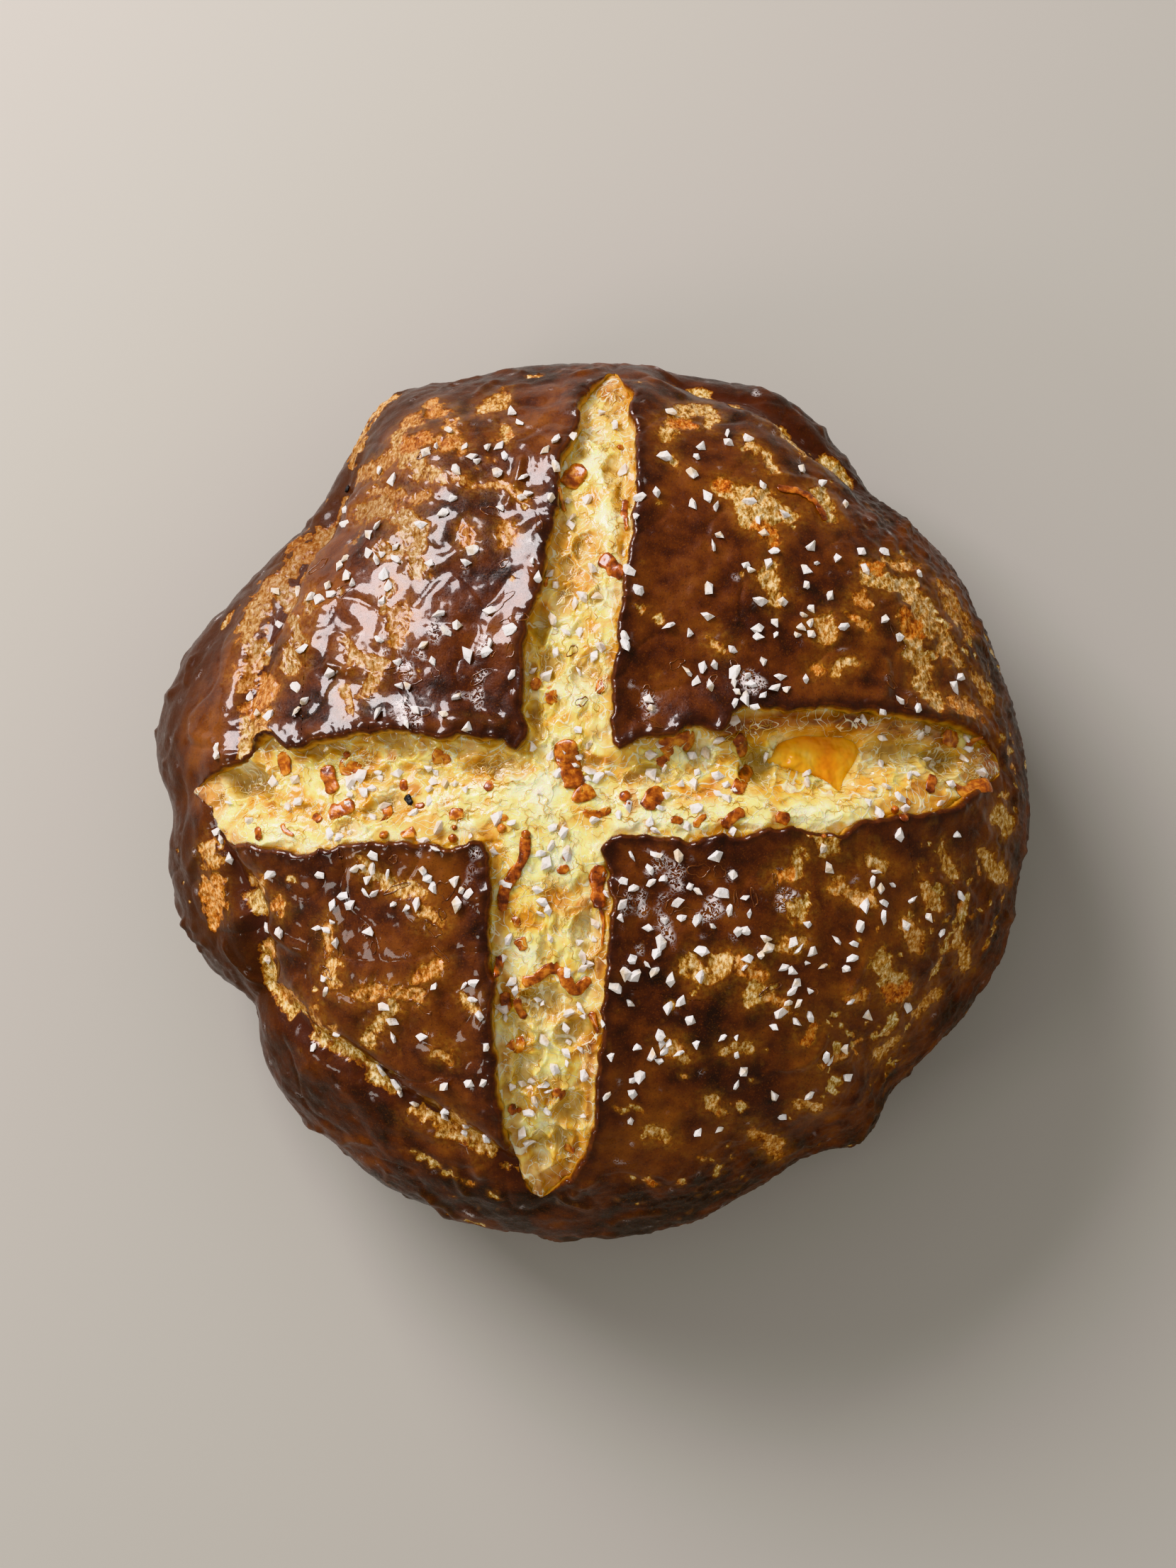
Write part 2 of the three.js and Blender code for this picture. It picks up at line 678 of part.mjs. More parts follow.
// ---- The loaf and its pocket of cheddar ----
function loafSolid() {
  let solid = crustSolid().add(crumbSolid());
  solid = solid.subtract(poolSolid(POOL_GAP));
  for (const shred of SHREDS) solid = solid.add(shredSolid(shred));
  const random = seededRandom(SALT_SEED);
  for (const [x, y] of grainPlaces(random)) solid = solid.add(grainSolid(x, y, random));
  return outerSkin(solid.simplify(SLIVER));
}

const loafMaterial = new THREE.MeshStandardMaterial({ color: 0x7a3f16, roughness: 0.38, metalness: 0 });
const poolMaterial = new THREE.MeshStandardMaterial({ color: 0xe8930c, roughness: 0.22, metalness: 0 });

const loaf = new THREE.Mesh(geometryFrom(loafSolid()), loafMaterial);
loaf.name = "loaf";
const pool = new THREE.Mesh(geometryFrom(poolSolid(0)), poolMaterial);
pool.name = "cheese_pool";

const bread = new THREE.Group();
bread.add(loaf, pool);
for (const piece of bread.children) piece.geometry.translate(-PLAN_SHIFT_X, -PLAN_SHIFT_Y, 0);

export default bread;
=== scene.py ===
# %% [markdown]
# # A round cheddar sourdough loaf
#
# The loaf was cut with a cross, baked dark, brushed so that its skin shines, and scattered with
# coarse salt. This lesson builds it in the order in which the eye takes it in: the view, the dome
# of dough, the four quarters of crust, the crumb that the cuts opened, then the cheddar and salt.
# Everything is worked out in millimetres in arrays, and turned to metres only when a mesh is made.

# %% Load the loaf's frame
import math

import bpy
import mathutils
import numpy as np
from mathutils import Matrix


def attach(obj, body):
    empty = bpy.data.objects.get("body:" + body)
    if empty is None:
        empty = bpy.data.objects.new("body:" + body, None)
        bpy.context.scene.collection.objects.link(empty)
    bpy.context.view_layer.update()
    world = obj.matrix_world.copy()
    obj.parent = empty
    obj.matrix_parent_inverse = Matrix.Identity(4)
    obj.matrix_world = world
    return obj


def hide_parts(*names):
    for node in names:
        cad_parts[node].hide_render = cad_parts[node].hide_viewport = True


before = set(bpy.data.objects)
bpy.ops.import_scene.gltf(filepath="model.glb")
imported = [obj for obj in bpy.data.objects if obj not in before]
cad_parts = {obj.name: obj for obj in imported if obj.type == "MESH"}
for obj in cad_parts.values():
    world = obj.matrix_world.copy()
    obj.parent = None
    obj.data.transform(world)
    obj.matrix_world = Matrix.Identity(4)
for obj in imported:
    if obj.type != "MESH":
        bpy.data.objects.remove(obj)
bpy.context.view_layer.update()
MM = 0.001  # metres in a millimetre

# %% [markdown]
# ## The view
#
# The photo looks almost straight down on the loaf, leaning a little towards its front. A long lens
# keeps the round outline round. The camera comes first, so that every later step is seen from the
# place that matters most.

# %% Camera
LEAN = math.radians(5.7)  # away from straight down
AIM = (-0.0015, 0.0027, 0.0383)
CAMERA_REACH = 0.6
LENS, SENSOR = 54.46, 36.0  # mm
camera_data = bpy.data.cameras.new("camera")
camera_data.lens, camera_data.sensor_width = LENS, SENSOR
camera = bpy.data.objects.new("camera", camera_data)
camera.location = (
    AIM[0],
    AIM[1] - CAMERA_REACH * math.sin(LEAN),
    AIM[2] + CAMERA_REACH * math.cos(LEAN),
)
camera.rotation_euler = (LEAN, 0.0, 0.0)
bpy.context.scene.collection.objects.link(camera)
bpy.context.scene.camera = camera
print("camera stands", round(camera.location[2], 3), "m above the table")

# %% [markdown]
# ## Light
#
# The crust's broken pale reflections come from one large, rather low window at the back left. An
# area light of that size gives the same sheets of light on the far shoulder and soft shadows to
# the front right. A second, fainter panel stands at the left. Overhead stays dim, because a
# bright ceiling would lay a grey veil over the dark brown skin. The neutral product view keeps
# the browns and golds as saturated as they were chosen, and only rolls off the highlights.


# %% Lights
def colour(code):
    """An sRGB hex colour as linear red, green, blue and full alpha."""
    channels = [int(code[i : i + 2], 16) / 255 for i in (1, 3, 5)]
    linear = [c / 12.92 if c <= 0.04045 else ((c + 0.055) / 1.055) ** 2.4 for c in channels]
    return (*linear, 1.0)


def panel(name, bearing, height, away, size, watts, tint):
    """A rectangular light that faces the loaf from a bearing and a height in degrees."""
    data = bpy.data.lights.new(name, "AREA")
    data.shape = "RECTANGLE"
    data.size, data.size_y = size
    data.energy = watts
    data.color = colour(tint)[:3]
    light = bpy.data.objects.new(name, data)
    turn, rise = math.radians(bearing), math.radians(height)
    light.location = (
        away * math.cos(rise) * math.cos(turn),
        away * math.cos(rise) * math.sin(turn),
        away * math.sin(rise) + 0.05,
    )
    light.rotation_euler = (math.pi / 2 - rise, 0.0, turn + math.pi / 2)
    bpy.context.scene.collection.objects.link(light)


panel("window", bearing=132, height=36, away=1.4, size=(0.76, 0.54), watts=22.5, tint="#FBF5F6")
panel("second_window", bearing=208, height=34, away=1.5, size=(0.4, 0.3), watts=2.4, tint="#FFFAF2")

ROOM_LIGHT = 0.54
world = bpy.data.worlds.new("room")
world.use_nodes = True
sky = world.node_tree.nodes["Background"]
sky.inputs["Color"].default_value = colour("#F3EEE8")
sky.inputs["Strength"].default_value = ROOM_LIGHT
bpy.context.scene.world = world
bpy.context.scene.view_settings.view_transform = "Khronos PBR Neutral"

# %% [markdown]
# ## Building blocks
#
# A crust has no straight line in it, so most of its shape is controlled unevenness. Four kinds
# are enough: a smooth bell for a single swelling, a step that fades over a given length, lattice
# noise, where random slopes at the corners of a grid are blended into soft bumps of a known size
# in millimetres, and bubbles, where a point takes its distance from the nearest of many spots.
# Seeds are fixed, so the loaf is the same loaf on every run.


# %% Bells, steps and noise
def bell(distance):
    """1 at no distance, fading smoothly to 0 by about 2."""
    return np.exp(-np.square(distance))


def step(value, start, end):
    """0 before start, 1 after end, smooth between them."""
    share = np.clip((value - start) / (end - start), 0.0, 1.0)
    return share * share * (3 - 2 * share)


def mix(a, b, share):
    return a + (b - a) * share


def on_plan(x, y):
    return np.column_stack([x, y, np.zeros(len(x))])


def patches(x, y, spots):
    """The strongest of several round patches: x, y, spread and, where given, strength."""
    total = np.zeros(np.shape(x))
    for at_x, at_y, spread, *strength in spots:
        reach = bell(np.hypot(x - at_x, y - at_y) / spread)
        total = np.maximum(total, reach * (strength[0] if strength else 1.0))
    return total


def turn_between(a, b):
    """The difference of two bearings in degrees, from -180 to 180."""
    return (a - b + 180.0) % 360.0 - 180.0


LATTICE = 256
dice = np.random.default_rng(11)
LATTICE_ORDER = dice.permutation(LATTICE)
LATTICE_SLOPES = dice.normal(size=(LATTICE, 3))
LATTICE_SLOPES /= np.linalg.norm(LATTICE_SLOPES, axis=1, keepdims=True)
LATTICE_CHANCE = dice.uniform(size=(LATTICE, 4))


def noise(points, size, seed=0):
    """Soft bumps from about -1 to 1 that are about `size` mm across."""
    place = points / size + np.array([13.7, 7.1, 3.3]) * (seed + 1)
    cell = np.floor(place).astype(np.int64)
    inside = place - cell
    fade = inside**3 * (inside * (inside * 6 - 15) + 10)
    total = np.zeros(len(points))
    for corner in np.ndindex(2, 2, 2):
        corner = np.array(corner)
        x, y, z = ((cell + corner) % LATTICE).T
        picked = LATTICE_ORDER[(LATTICE_ORDER[(LATTICE_ORDER[x] + y) % LATTICE] + z) % LATTICE]
        slope = np.einsum("ij,ij->i", LATTICE_SLOPES[picked], inside - corner)
        weight = np.prod(np.where(corner == 1, fade, 1 - fade), axis=1)
        total += slope * weight
    return total * 1.6


def rough(points, size, octaves, seed=0, fall=0.5):
    """Noise with finer and finer octaves added."""
    total = np.zeros(len(points))
    height = 1.0
    for octave in range(octaves):
        total += height * noise(points, size / 2**octave, seed + 5 * octave)
        height *= fall
    return total


def ridges(points, size, seed=0):
    """Thin crests, 1 on the crest line and falling to 0 between crests."""
    return 1 - np.clip(np.abs(noise(points, size, seed)) * 2.2, 0, 1)


def uneven(points, *layers):
    """The sum of several noises: rise, size in mm and seed of each."""
    return sum(rise * noise(points, size, seed) for rise, size, seed in layers)


def bubbles(flat, seed):
    """For places on a plane, in bubble sizes: distance to the nearest, and its chance."""
    home = np.floor(flat).astype(np.int64)
    first = np.full(len(flat), 9.0)
    chance = np.zeros(len(flat))
    for dx, dy in np.ndindex(3, 3):
        cell = home + [dx - 1, dy - 1]
        key = LATTICE_ORDER[(LATTICE_ORDER[(cell[:, 0] + seed) % LATTICE] + cell[:, 1]) % LATTICE]
        away = np.hypot(*(flat - cell - 0.15 - 0.7 * LATTICE_CHANCE[key, :2]).T)
        closer = away < first
        chance = np.where(closer, LATTICE_CHANCE[key, 2], chance)
        first = np.where(closer, away, first)
    return first, chance


print("noise ready, sample:", np.round(noise(np.array([[1.0, 2.0, 3.0]]), 5.0), 3))

# %% [markdown]
# ## The dome of dough
#
# Round dough that rises in a basket and springs in the oven becomes a dome that is flatter on top
# than a ball, with an uneven outline where lobes bulge. A superellipse gives the flat crown, and a
# few bells on the bearing make the lobes. The same named sizes drive the solid part. Every point
# of the skin has a bearing and a level: 0 is the crown, 1 the waist, 2 the rim of the base.

# %% Sizes of the dome
TOP_HEIGHT = 96.0
WAIST_HEIGHT = 38.0
WAIST_RADIUS = 107.8
BASE_INSET = 21.0
DOME_POWER = 2.6
RING_EVENNESS = 1.25
PLAN_SHIFT = np.array([-0.155, -0.207, 0.0])  # centres the uneven outline on the frame
CROWN_TO_WAIST = 133.0  # mm along the skin
WAIST_TO_BASE = 48.0
SKIN_LENGTH = CROWN_TO_WAIST + WAIST_TO_BASE

# bearing in degrees, outward mm, spread in degrees
OUTLINE_LOBES = [
    (0, 1.7, 8), (15, -2.4, 8), (45, -2.2, 9), (66, 2.2, 6), (88, 2.6, 16), (117, 4.5, 5), (137, -6, 9),
    (150, -3.5, 5), (163, -3.2, 9), (170, 2.5, 7), (197, -2.6, 6), (211, -6, 6), (236, -3.4, 11),
    (250, 3, 14), (297, -2.2, 8), (308, 2, 3), (315, -3, 3), (321, -2.3, 4), (335, -2.6, 8),
    (339, 2.5, 5),
]


# %% The plain dome
def outline_radius(bearing):
    radius = np.full(np.shape(bearing), WAIST_RADIUS)
    for at, outward, spread in OUTLINE_LOBES:
        radius = radius + outward * bell(turn_between(bearing, at) / spread / math.sqrt(2))
    return radius


def dome_point(bearing, level):
    """Points of the plain dome for bearings in degrees and levels from 0 to 2."""
    radius = outline_radius(bearing)
    upper = np.clip(level, 0, 1) ** RING_EVENNESS * math.pi / 2
    lower = np.clip(level - 1, 0, 1) * math.pi / 2
    reach = radius * np.sin(upper) ** (2 / DOME_POWER) - BASE_INSET * (1 - np.cos(lower))
    height = WAIST_HEIGHT * (1 - np.sin(lower)) + (TOP_HEIGHT - WAIST_HEIGHT) * np.cos(upper)
    turn = np.radians(bearing)
    return np.stack([reach * np.cos(turn), reach * np.sin(turn), height], axis=-1)


def dome_normal(bearing, level):
    turn_step, level_step = 0.4, 0.004
    level = np.clip(level, 0.03, 1.996)
    across = dome_point(bearing + turn_step, level) - dome_point(bearing - turn_step, level)
    down = dome_point(bearing, level + level_step) - dome_point(bearing, level - level_step)
    normal = np.cross(down, across)
    return normal / np.linalg.norm(normal, axis=-1, keepdims=True)


def level_of(x, y):
    """Bearing and level of the skin above a point of the plan."""
    bearing = np.degrees(np.arctan2(y, x)) % 360.0
    share = np.clip(np.hypot(x, y) / outline_radius(bearing), 0, 0.9999)
    level = (np.arcsin(share ** (DOME_POWER / 2)) / (math.pi / 2)) ** (1 / RING_EVENNESS)
    return bearing, level


def unroll(x, y):
    """A point of the plan on the unrolled skin, where distances from the crown are true."""
    bearing, level = level_of(x, y)
    turn = np.radians(bearing)
    away = level * CROWN_TO_WAIST
    return np.stack([away * np.cos(turn), away * np.sin(turn)], axis=-1)


def roll_up(flat):
    """Bearing and level of a point of the unrolled skin."""
    away = np.hypot(flat[..., 0], flat[..., 1])
    bearing = np.degrees(np.arctan2(flat[..., 1], flat[..., 0])) % 360.0
    below = 1 + (away - CROWN_TO_WAIST) / WAIST_TO_BASE
    return bearing, np.clip(np.where(away < CROWN_TO_WAIST, away / CROWN_TO_WAIST, below), 0, 2)


print("dome at 60 mm from the crown:", np.round(dome_point(*level_of(np.array(60.0), np.array(0.0))), 1))

# %% [markdown]
# ## The cross
#
# Two cuts were made with a blade, and the oven pulled them open. The lips are the edges of the
# dark crust, measured along each arm. They are drawn as curves through a few points, with a small
# uneven wander added, because torn dough never leaves a clean line.

# %% Lips of the cuts
# x and y in mm, from the inner corner outwards
LIPS = {
    "back_left": [
        (-17.6, 5.4), (-15.6, 8.6), (-16.6, 13), (-15.8, 20.6), (-16.1, 26), (-14.6, 36.6),
        (-11.8, 44.8), (-10.3, 53.6), (-8.8, 63.9), (-7.6, 73), (-4.6, 82.3), (-2.8, 92), (3, 101),
    ],
    "back_right": [
        (5.6, 5.4), (4.0, 8.6), (4.4, 20.5), (5.4, 28.5), (5.8, 36.6), (6.8, 43.1), (8.4, 50.5),
        (9.3, 58.7), (9.7, 67.5), (9.9, 78.5), (9.3, 87), (9, 93.5), (6.4, 101),
    ],
    "right_top": [
        (6.2, 5.2), (11, 7.6), (18.1, 9), (23.4, 10.3), (28.6, 9.4), (31.5, 13.2), (36.5, 15),
        (43, 14.5), (52.4, 15.4), (66.1, 15), (72.8, 14.4), (79.6, 13.1), (89.2, 12.4), (96.5, 8),
    ],
    "right_bottom": [
        (4.3, -15), (11, -14.3), (18, -15.3), (22.2, -15.7), (27.1, -14.2), (32.1, -14.6),
        (39.2, -13.4), (44.3, -12.2), (48.5, -13), (56.1, -13.9), (60.5, -11.3), (65.7, -10.5),
        (72.4, -8.6), (79.2, -7.9), (84.5, -6.2), (89.5, -2.6), (97, 2),
    ],
    "front_right": [
        (3.9, -15.2), (2.1, -18), (3.4, -23.5), (4, -29.6), (3.4, -37.3), (2.6, -43.5), (2, -51.6),
        (1.6, -60.2), (0.7, -71.1), (-0.1, -80), (-1.4, -86), (-4.8, -91.4), (-8.6, -96),
    ],
    "front_left": [
        (-25.4, -16.2), (-23.2, -19.6), (-23.2, -23.4), (-23.8, -32.7), (-23.7, -41.9),
        (-22.7, -53.7), (-22.4, -66.8), (-21.3, -77.8), (-19.4, -85.5), (-16.8, -92), (-15.4, -96.5),
    ],
    "left_top": [
        (-18, 5.2), (-21.9, 7.1), (-30.7, 8.1), (-36, 7.3), (-40.6, 9), (-45, 9.5), (-52.2, 9.5),
        (-57, 8.1), (-64.4, 7.5), (-70.5, 6.1), (-75.6, 10.6), (-79.5, 7.4), (-84, 4.6), (-90.5, 2),
    ],
    "left_bottom": [
        (-25.6, -16), (-29, -16.2), (-33.5, -17.5), (-38.5, -16), (-52, -15.9), (-62.4, -17.2),
        (-69.5, -17.9), (-76, -16.6), (-81.5, -15.2), (-86, -14.4), (-89.6, -10.4), (-91.5, -6.5),
    ],
}
ARM_TIPS = {"back": (5.2, 102.5), "right": (98.5, 4.6), "front": (-12.4, -98.6), "left": (-96.5, -1.8)}
TIP_SPREAD = 11.0  # mm
LIP_WANDER = 0.95  # mm
LIP_STEPS = 200


CURVE_PARTS = 24  # between two knots of a curve


def smooth_curve(points, count):
    """Evenly spaced places on a soft curve through the points."""
    knots = np.array(points, dtype=float)
    ghosts = np.vstack([2 * knots[0] - knots[1], knots, 2 * knots[-1] - knots[-2]])
    share = np.linspace(0, 1, CURVE_PARTS, endpoint=False)[:, None]
    pieces = []
    for a, b, c, d in zip(ghosts, ghosts[1:], ghosts[2:], ghosts[3:]):
        bend = 2 * a - 5 * b + 4 * c - d
        slope = 3 * b - a - 3 * c + d
        pieces.append(0.5 * (2 * b + (c - a) * share + bend * share**2 + slope * share**3))
    line = np.vstack(pieces + [knots[-1:]])
    travelled = np.concatenate([[0], np.cumsum(np.linalg.norm(np.diff(line, axis=0), axis=1))])
    even = np.linspace(0, travelled[-1], count)
    return np.stack([np.interp(even, travelled, line[:, i]) for i in range(line.shape[1])], axis=-1)


def lip_line(name, count):
    """One lip from its inner corner to the arm's tip, with its wander."""
    line = smooth_curve(LIPS[name] + [ARM_TIPS[name.split("_")[0]]], count)
    spots = np.column_stack([line, np.full(count, float(len(name)))])
    calm = np.minimum(step(np.arange(count), 0, 8), step(np.arange(count)[::-1], 0, 16))
    wander = np.stack([rough(spots, 5.0, 3, 31), rough(spots, 5.0, 3, 47)], axis=-1)
    return line + LIP_WANDER * wander * calm[:, None]


lips = {name: lip_line(name, LIP_STEPS + 1) for name in LIPS}
ROUND_THE_CROSS = [  # each lip, and whether it is walked back towards the middle
    ("back_right", False),
    ("back_left", True),
    ("left_top", False),
    ("left_bottom", True),
    ("front_left", False),
    ("front_right", True),
    ("right_bottom", False),
    ("right_top", True),
]
cross_outline = np.vstack([lips[name][:: -1 if back else 1][:-1] for name, back in ROUND_THE_CROSS])
print("lips drawn with", len(cross_outline), "points")


# %% Distance to the nearest lip
def outline_distance(x, y, outline):
    """Distance to a closed outline, negative inside it."""
    ends = np.roll(outline, -1, axis=0)
    nearest = np.full(len(x), np.inf)
    inside = np.zeros(len(x), dtype=bool)
    for (ax, ay), (bx, by) in zip(outline, ends):
        length2 = (bx - ax) ** 2 + (by - ay) ** 2 + 1e-12
        share = np.clip(((x - ax) * (bx - ax) + (y - ay) * (by - ay)) / length2, 0, 1)
        away = (x - ax - share * (bx - ax)) ** 2 + (y - ay - share * (by - ay)) ** 2
        nearest = np.minimum(nearest, away)
        inside ^= ((ay > y) != (by > y)) & (x < ax + (y - ay) * (bx - ax) / (by - ay + 1e-12))
    return np.where(inside, -1, 1) * np.sqrt(nearest)


FIELD_STEP = 1.0  # mm between the samples of a distance field
FIELD_REACH = 118.0
field_axis = np.arange(-FIELD_REACH, FIELD_REACH + FIELD_STEP, FIELD_STEP)
field_x, field_y = np.meshgrid(field_axis, field_axis, indexing="ij")
lip_field = outline_distance(field_x.ravel(), field_y.ravel(), cross_outline[::4]).reshape(field_x.shape)


def lip_distance(x, y):
    """How far a point lies outside the cross, negative in the opened cut."""
    u = np.clip((x + FIELD_REACH) / FIELD_STEP, 0, len(field_axis) - 1.001)
    v = np.clip((y + FIELD_REACH) / FIELD_STEP, 0, len(field_axis) - 1.001)
    i, j = u.astype(int), v.astype(int)
    near = mix(lip_field[i, j], lip_field[i + 1, j], u - i)
    far = mix(lip_field[i, j + 1], lip_field[i + 1, j + 1], u - i)
    return mix(near, far, v - j)


def tip_closeness(x, y):
    """1 at the tip of an arm, 0 from about 20 mm away."""
    return patches(x, y, [(*tip, TIP_SPREAD) for tip in ARM_TIPS.values()])


print("deepest point of the cross lies", round(-lip_field.min(), 1), "mm from a lip")

# %% [markdown]
# ## Relief of the skin
#
# Up close the skin is a landscape. The quarters swell, their lips curl up, a crack runs round the
# shoulder where the cap pulled away from the side, and lobes bulge below it. Grated cheddar under
# the skin makes short ridges. Where the skin tore, the pale inside shows with a ragged edge. Each
# of these is a height in millimetres along the dome's normal, and several also give a mask that
# the crust's colours read later.

# %% Swellings, cracks and lobes
SWELLS = [  # x, y, height, spread
    (-46, 40, 1.8, 24), (-30, 80, 1.2, 14), (44, 48, 1.6, 26), (72, 46, 1.4, 15), (-44, -44, 2.0, 22),
    (44, -48, 2.2, 26), (70, -38, 1.3, 14), (-62, 62, -1.6, 9), (-78, 24, -1.5, 8), (30, 92, -1.2, 9),
    (86, 32, 1.1, 8), (20, -92, 1.2, 10),
]
LIP_RAISE = 2.4
LIP_SPREAD = 6.0
SHOULDER_CRACK = [  # bearing, share of the outline radius
    (132, 0.93), (150, 0.86), (160, 0.82), (176, 0.76), (187, 0.84), (201, 0.83), (212, 0.91),
    (225, 0.83), (244, 0.81), (258, 0.84),
]
BACK_TUCK = [(52, 0.95), (60, 0.93), (76, 0.95)]
CRACK_DEPTH = 3.2
CRACK_SPREAD = 0.03
CRACK_FADE = 9.0
SIDE_LOBES = [  # bearing, height, outward mm, spread in degrees, spread in mm
    (163, 46, 3.4, 14, 18), (197, 38, 3.0, 9, 16), (236, 40, 2.6, 16, 17), (275, 36, 1.6, 12, 15),
    (335, 40, 2.4, 12, 15), (15, 42, 1.6, 14, 16), (64, 46, 2.0, 9, 12), (110, 38, 1.8, 12, 15),
    (183, 40, -3.4, 4, 26), (212, 36, -3.0, 4, 24), (47, 40, -2.4, 4, 20), (300, 34, -1.8, 4, 20),
    (137, 40, -2.2, 5, 22),
]


def crack_share(stations, bearing, share, wander):
    """1 in a shoulder crack, 0 away from it."""
    bearings, shares = zip(*stations)
    middle = np.interp(bearing, bearings, shares) + wander
    outside = np.maximum(np.maximum(bearings[0] - bearing, bearing - bearings[-1]), 0)
    return bell((share - middle) / CRACK_SPREAD) * step(CRACK_FADE - outside, 0, CRACK_FADE)


print(len(SWELLS), "swellings and", len(SIDE_LOBES), "lobes and folds")

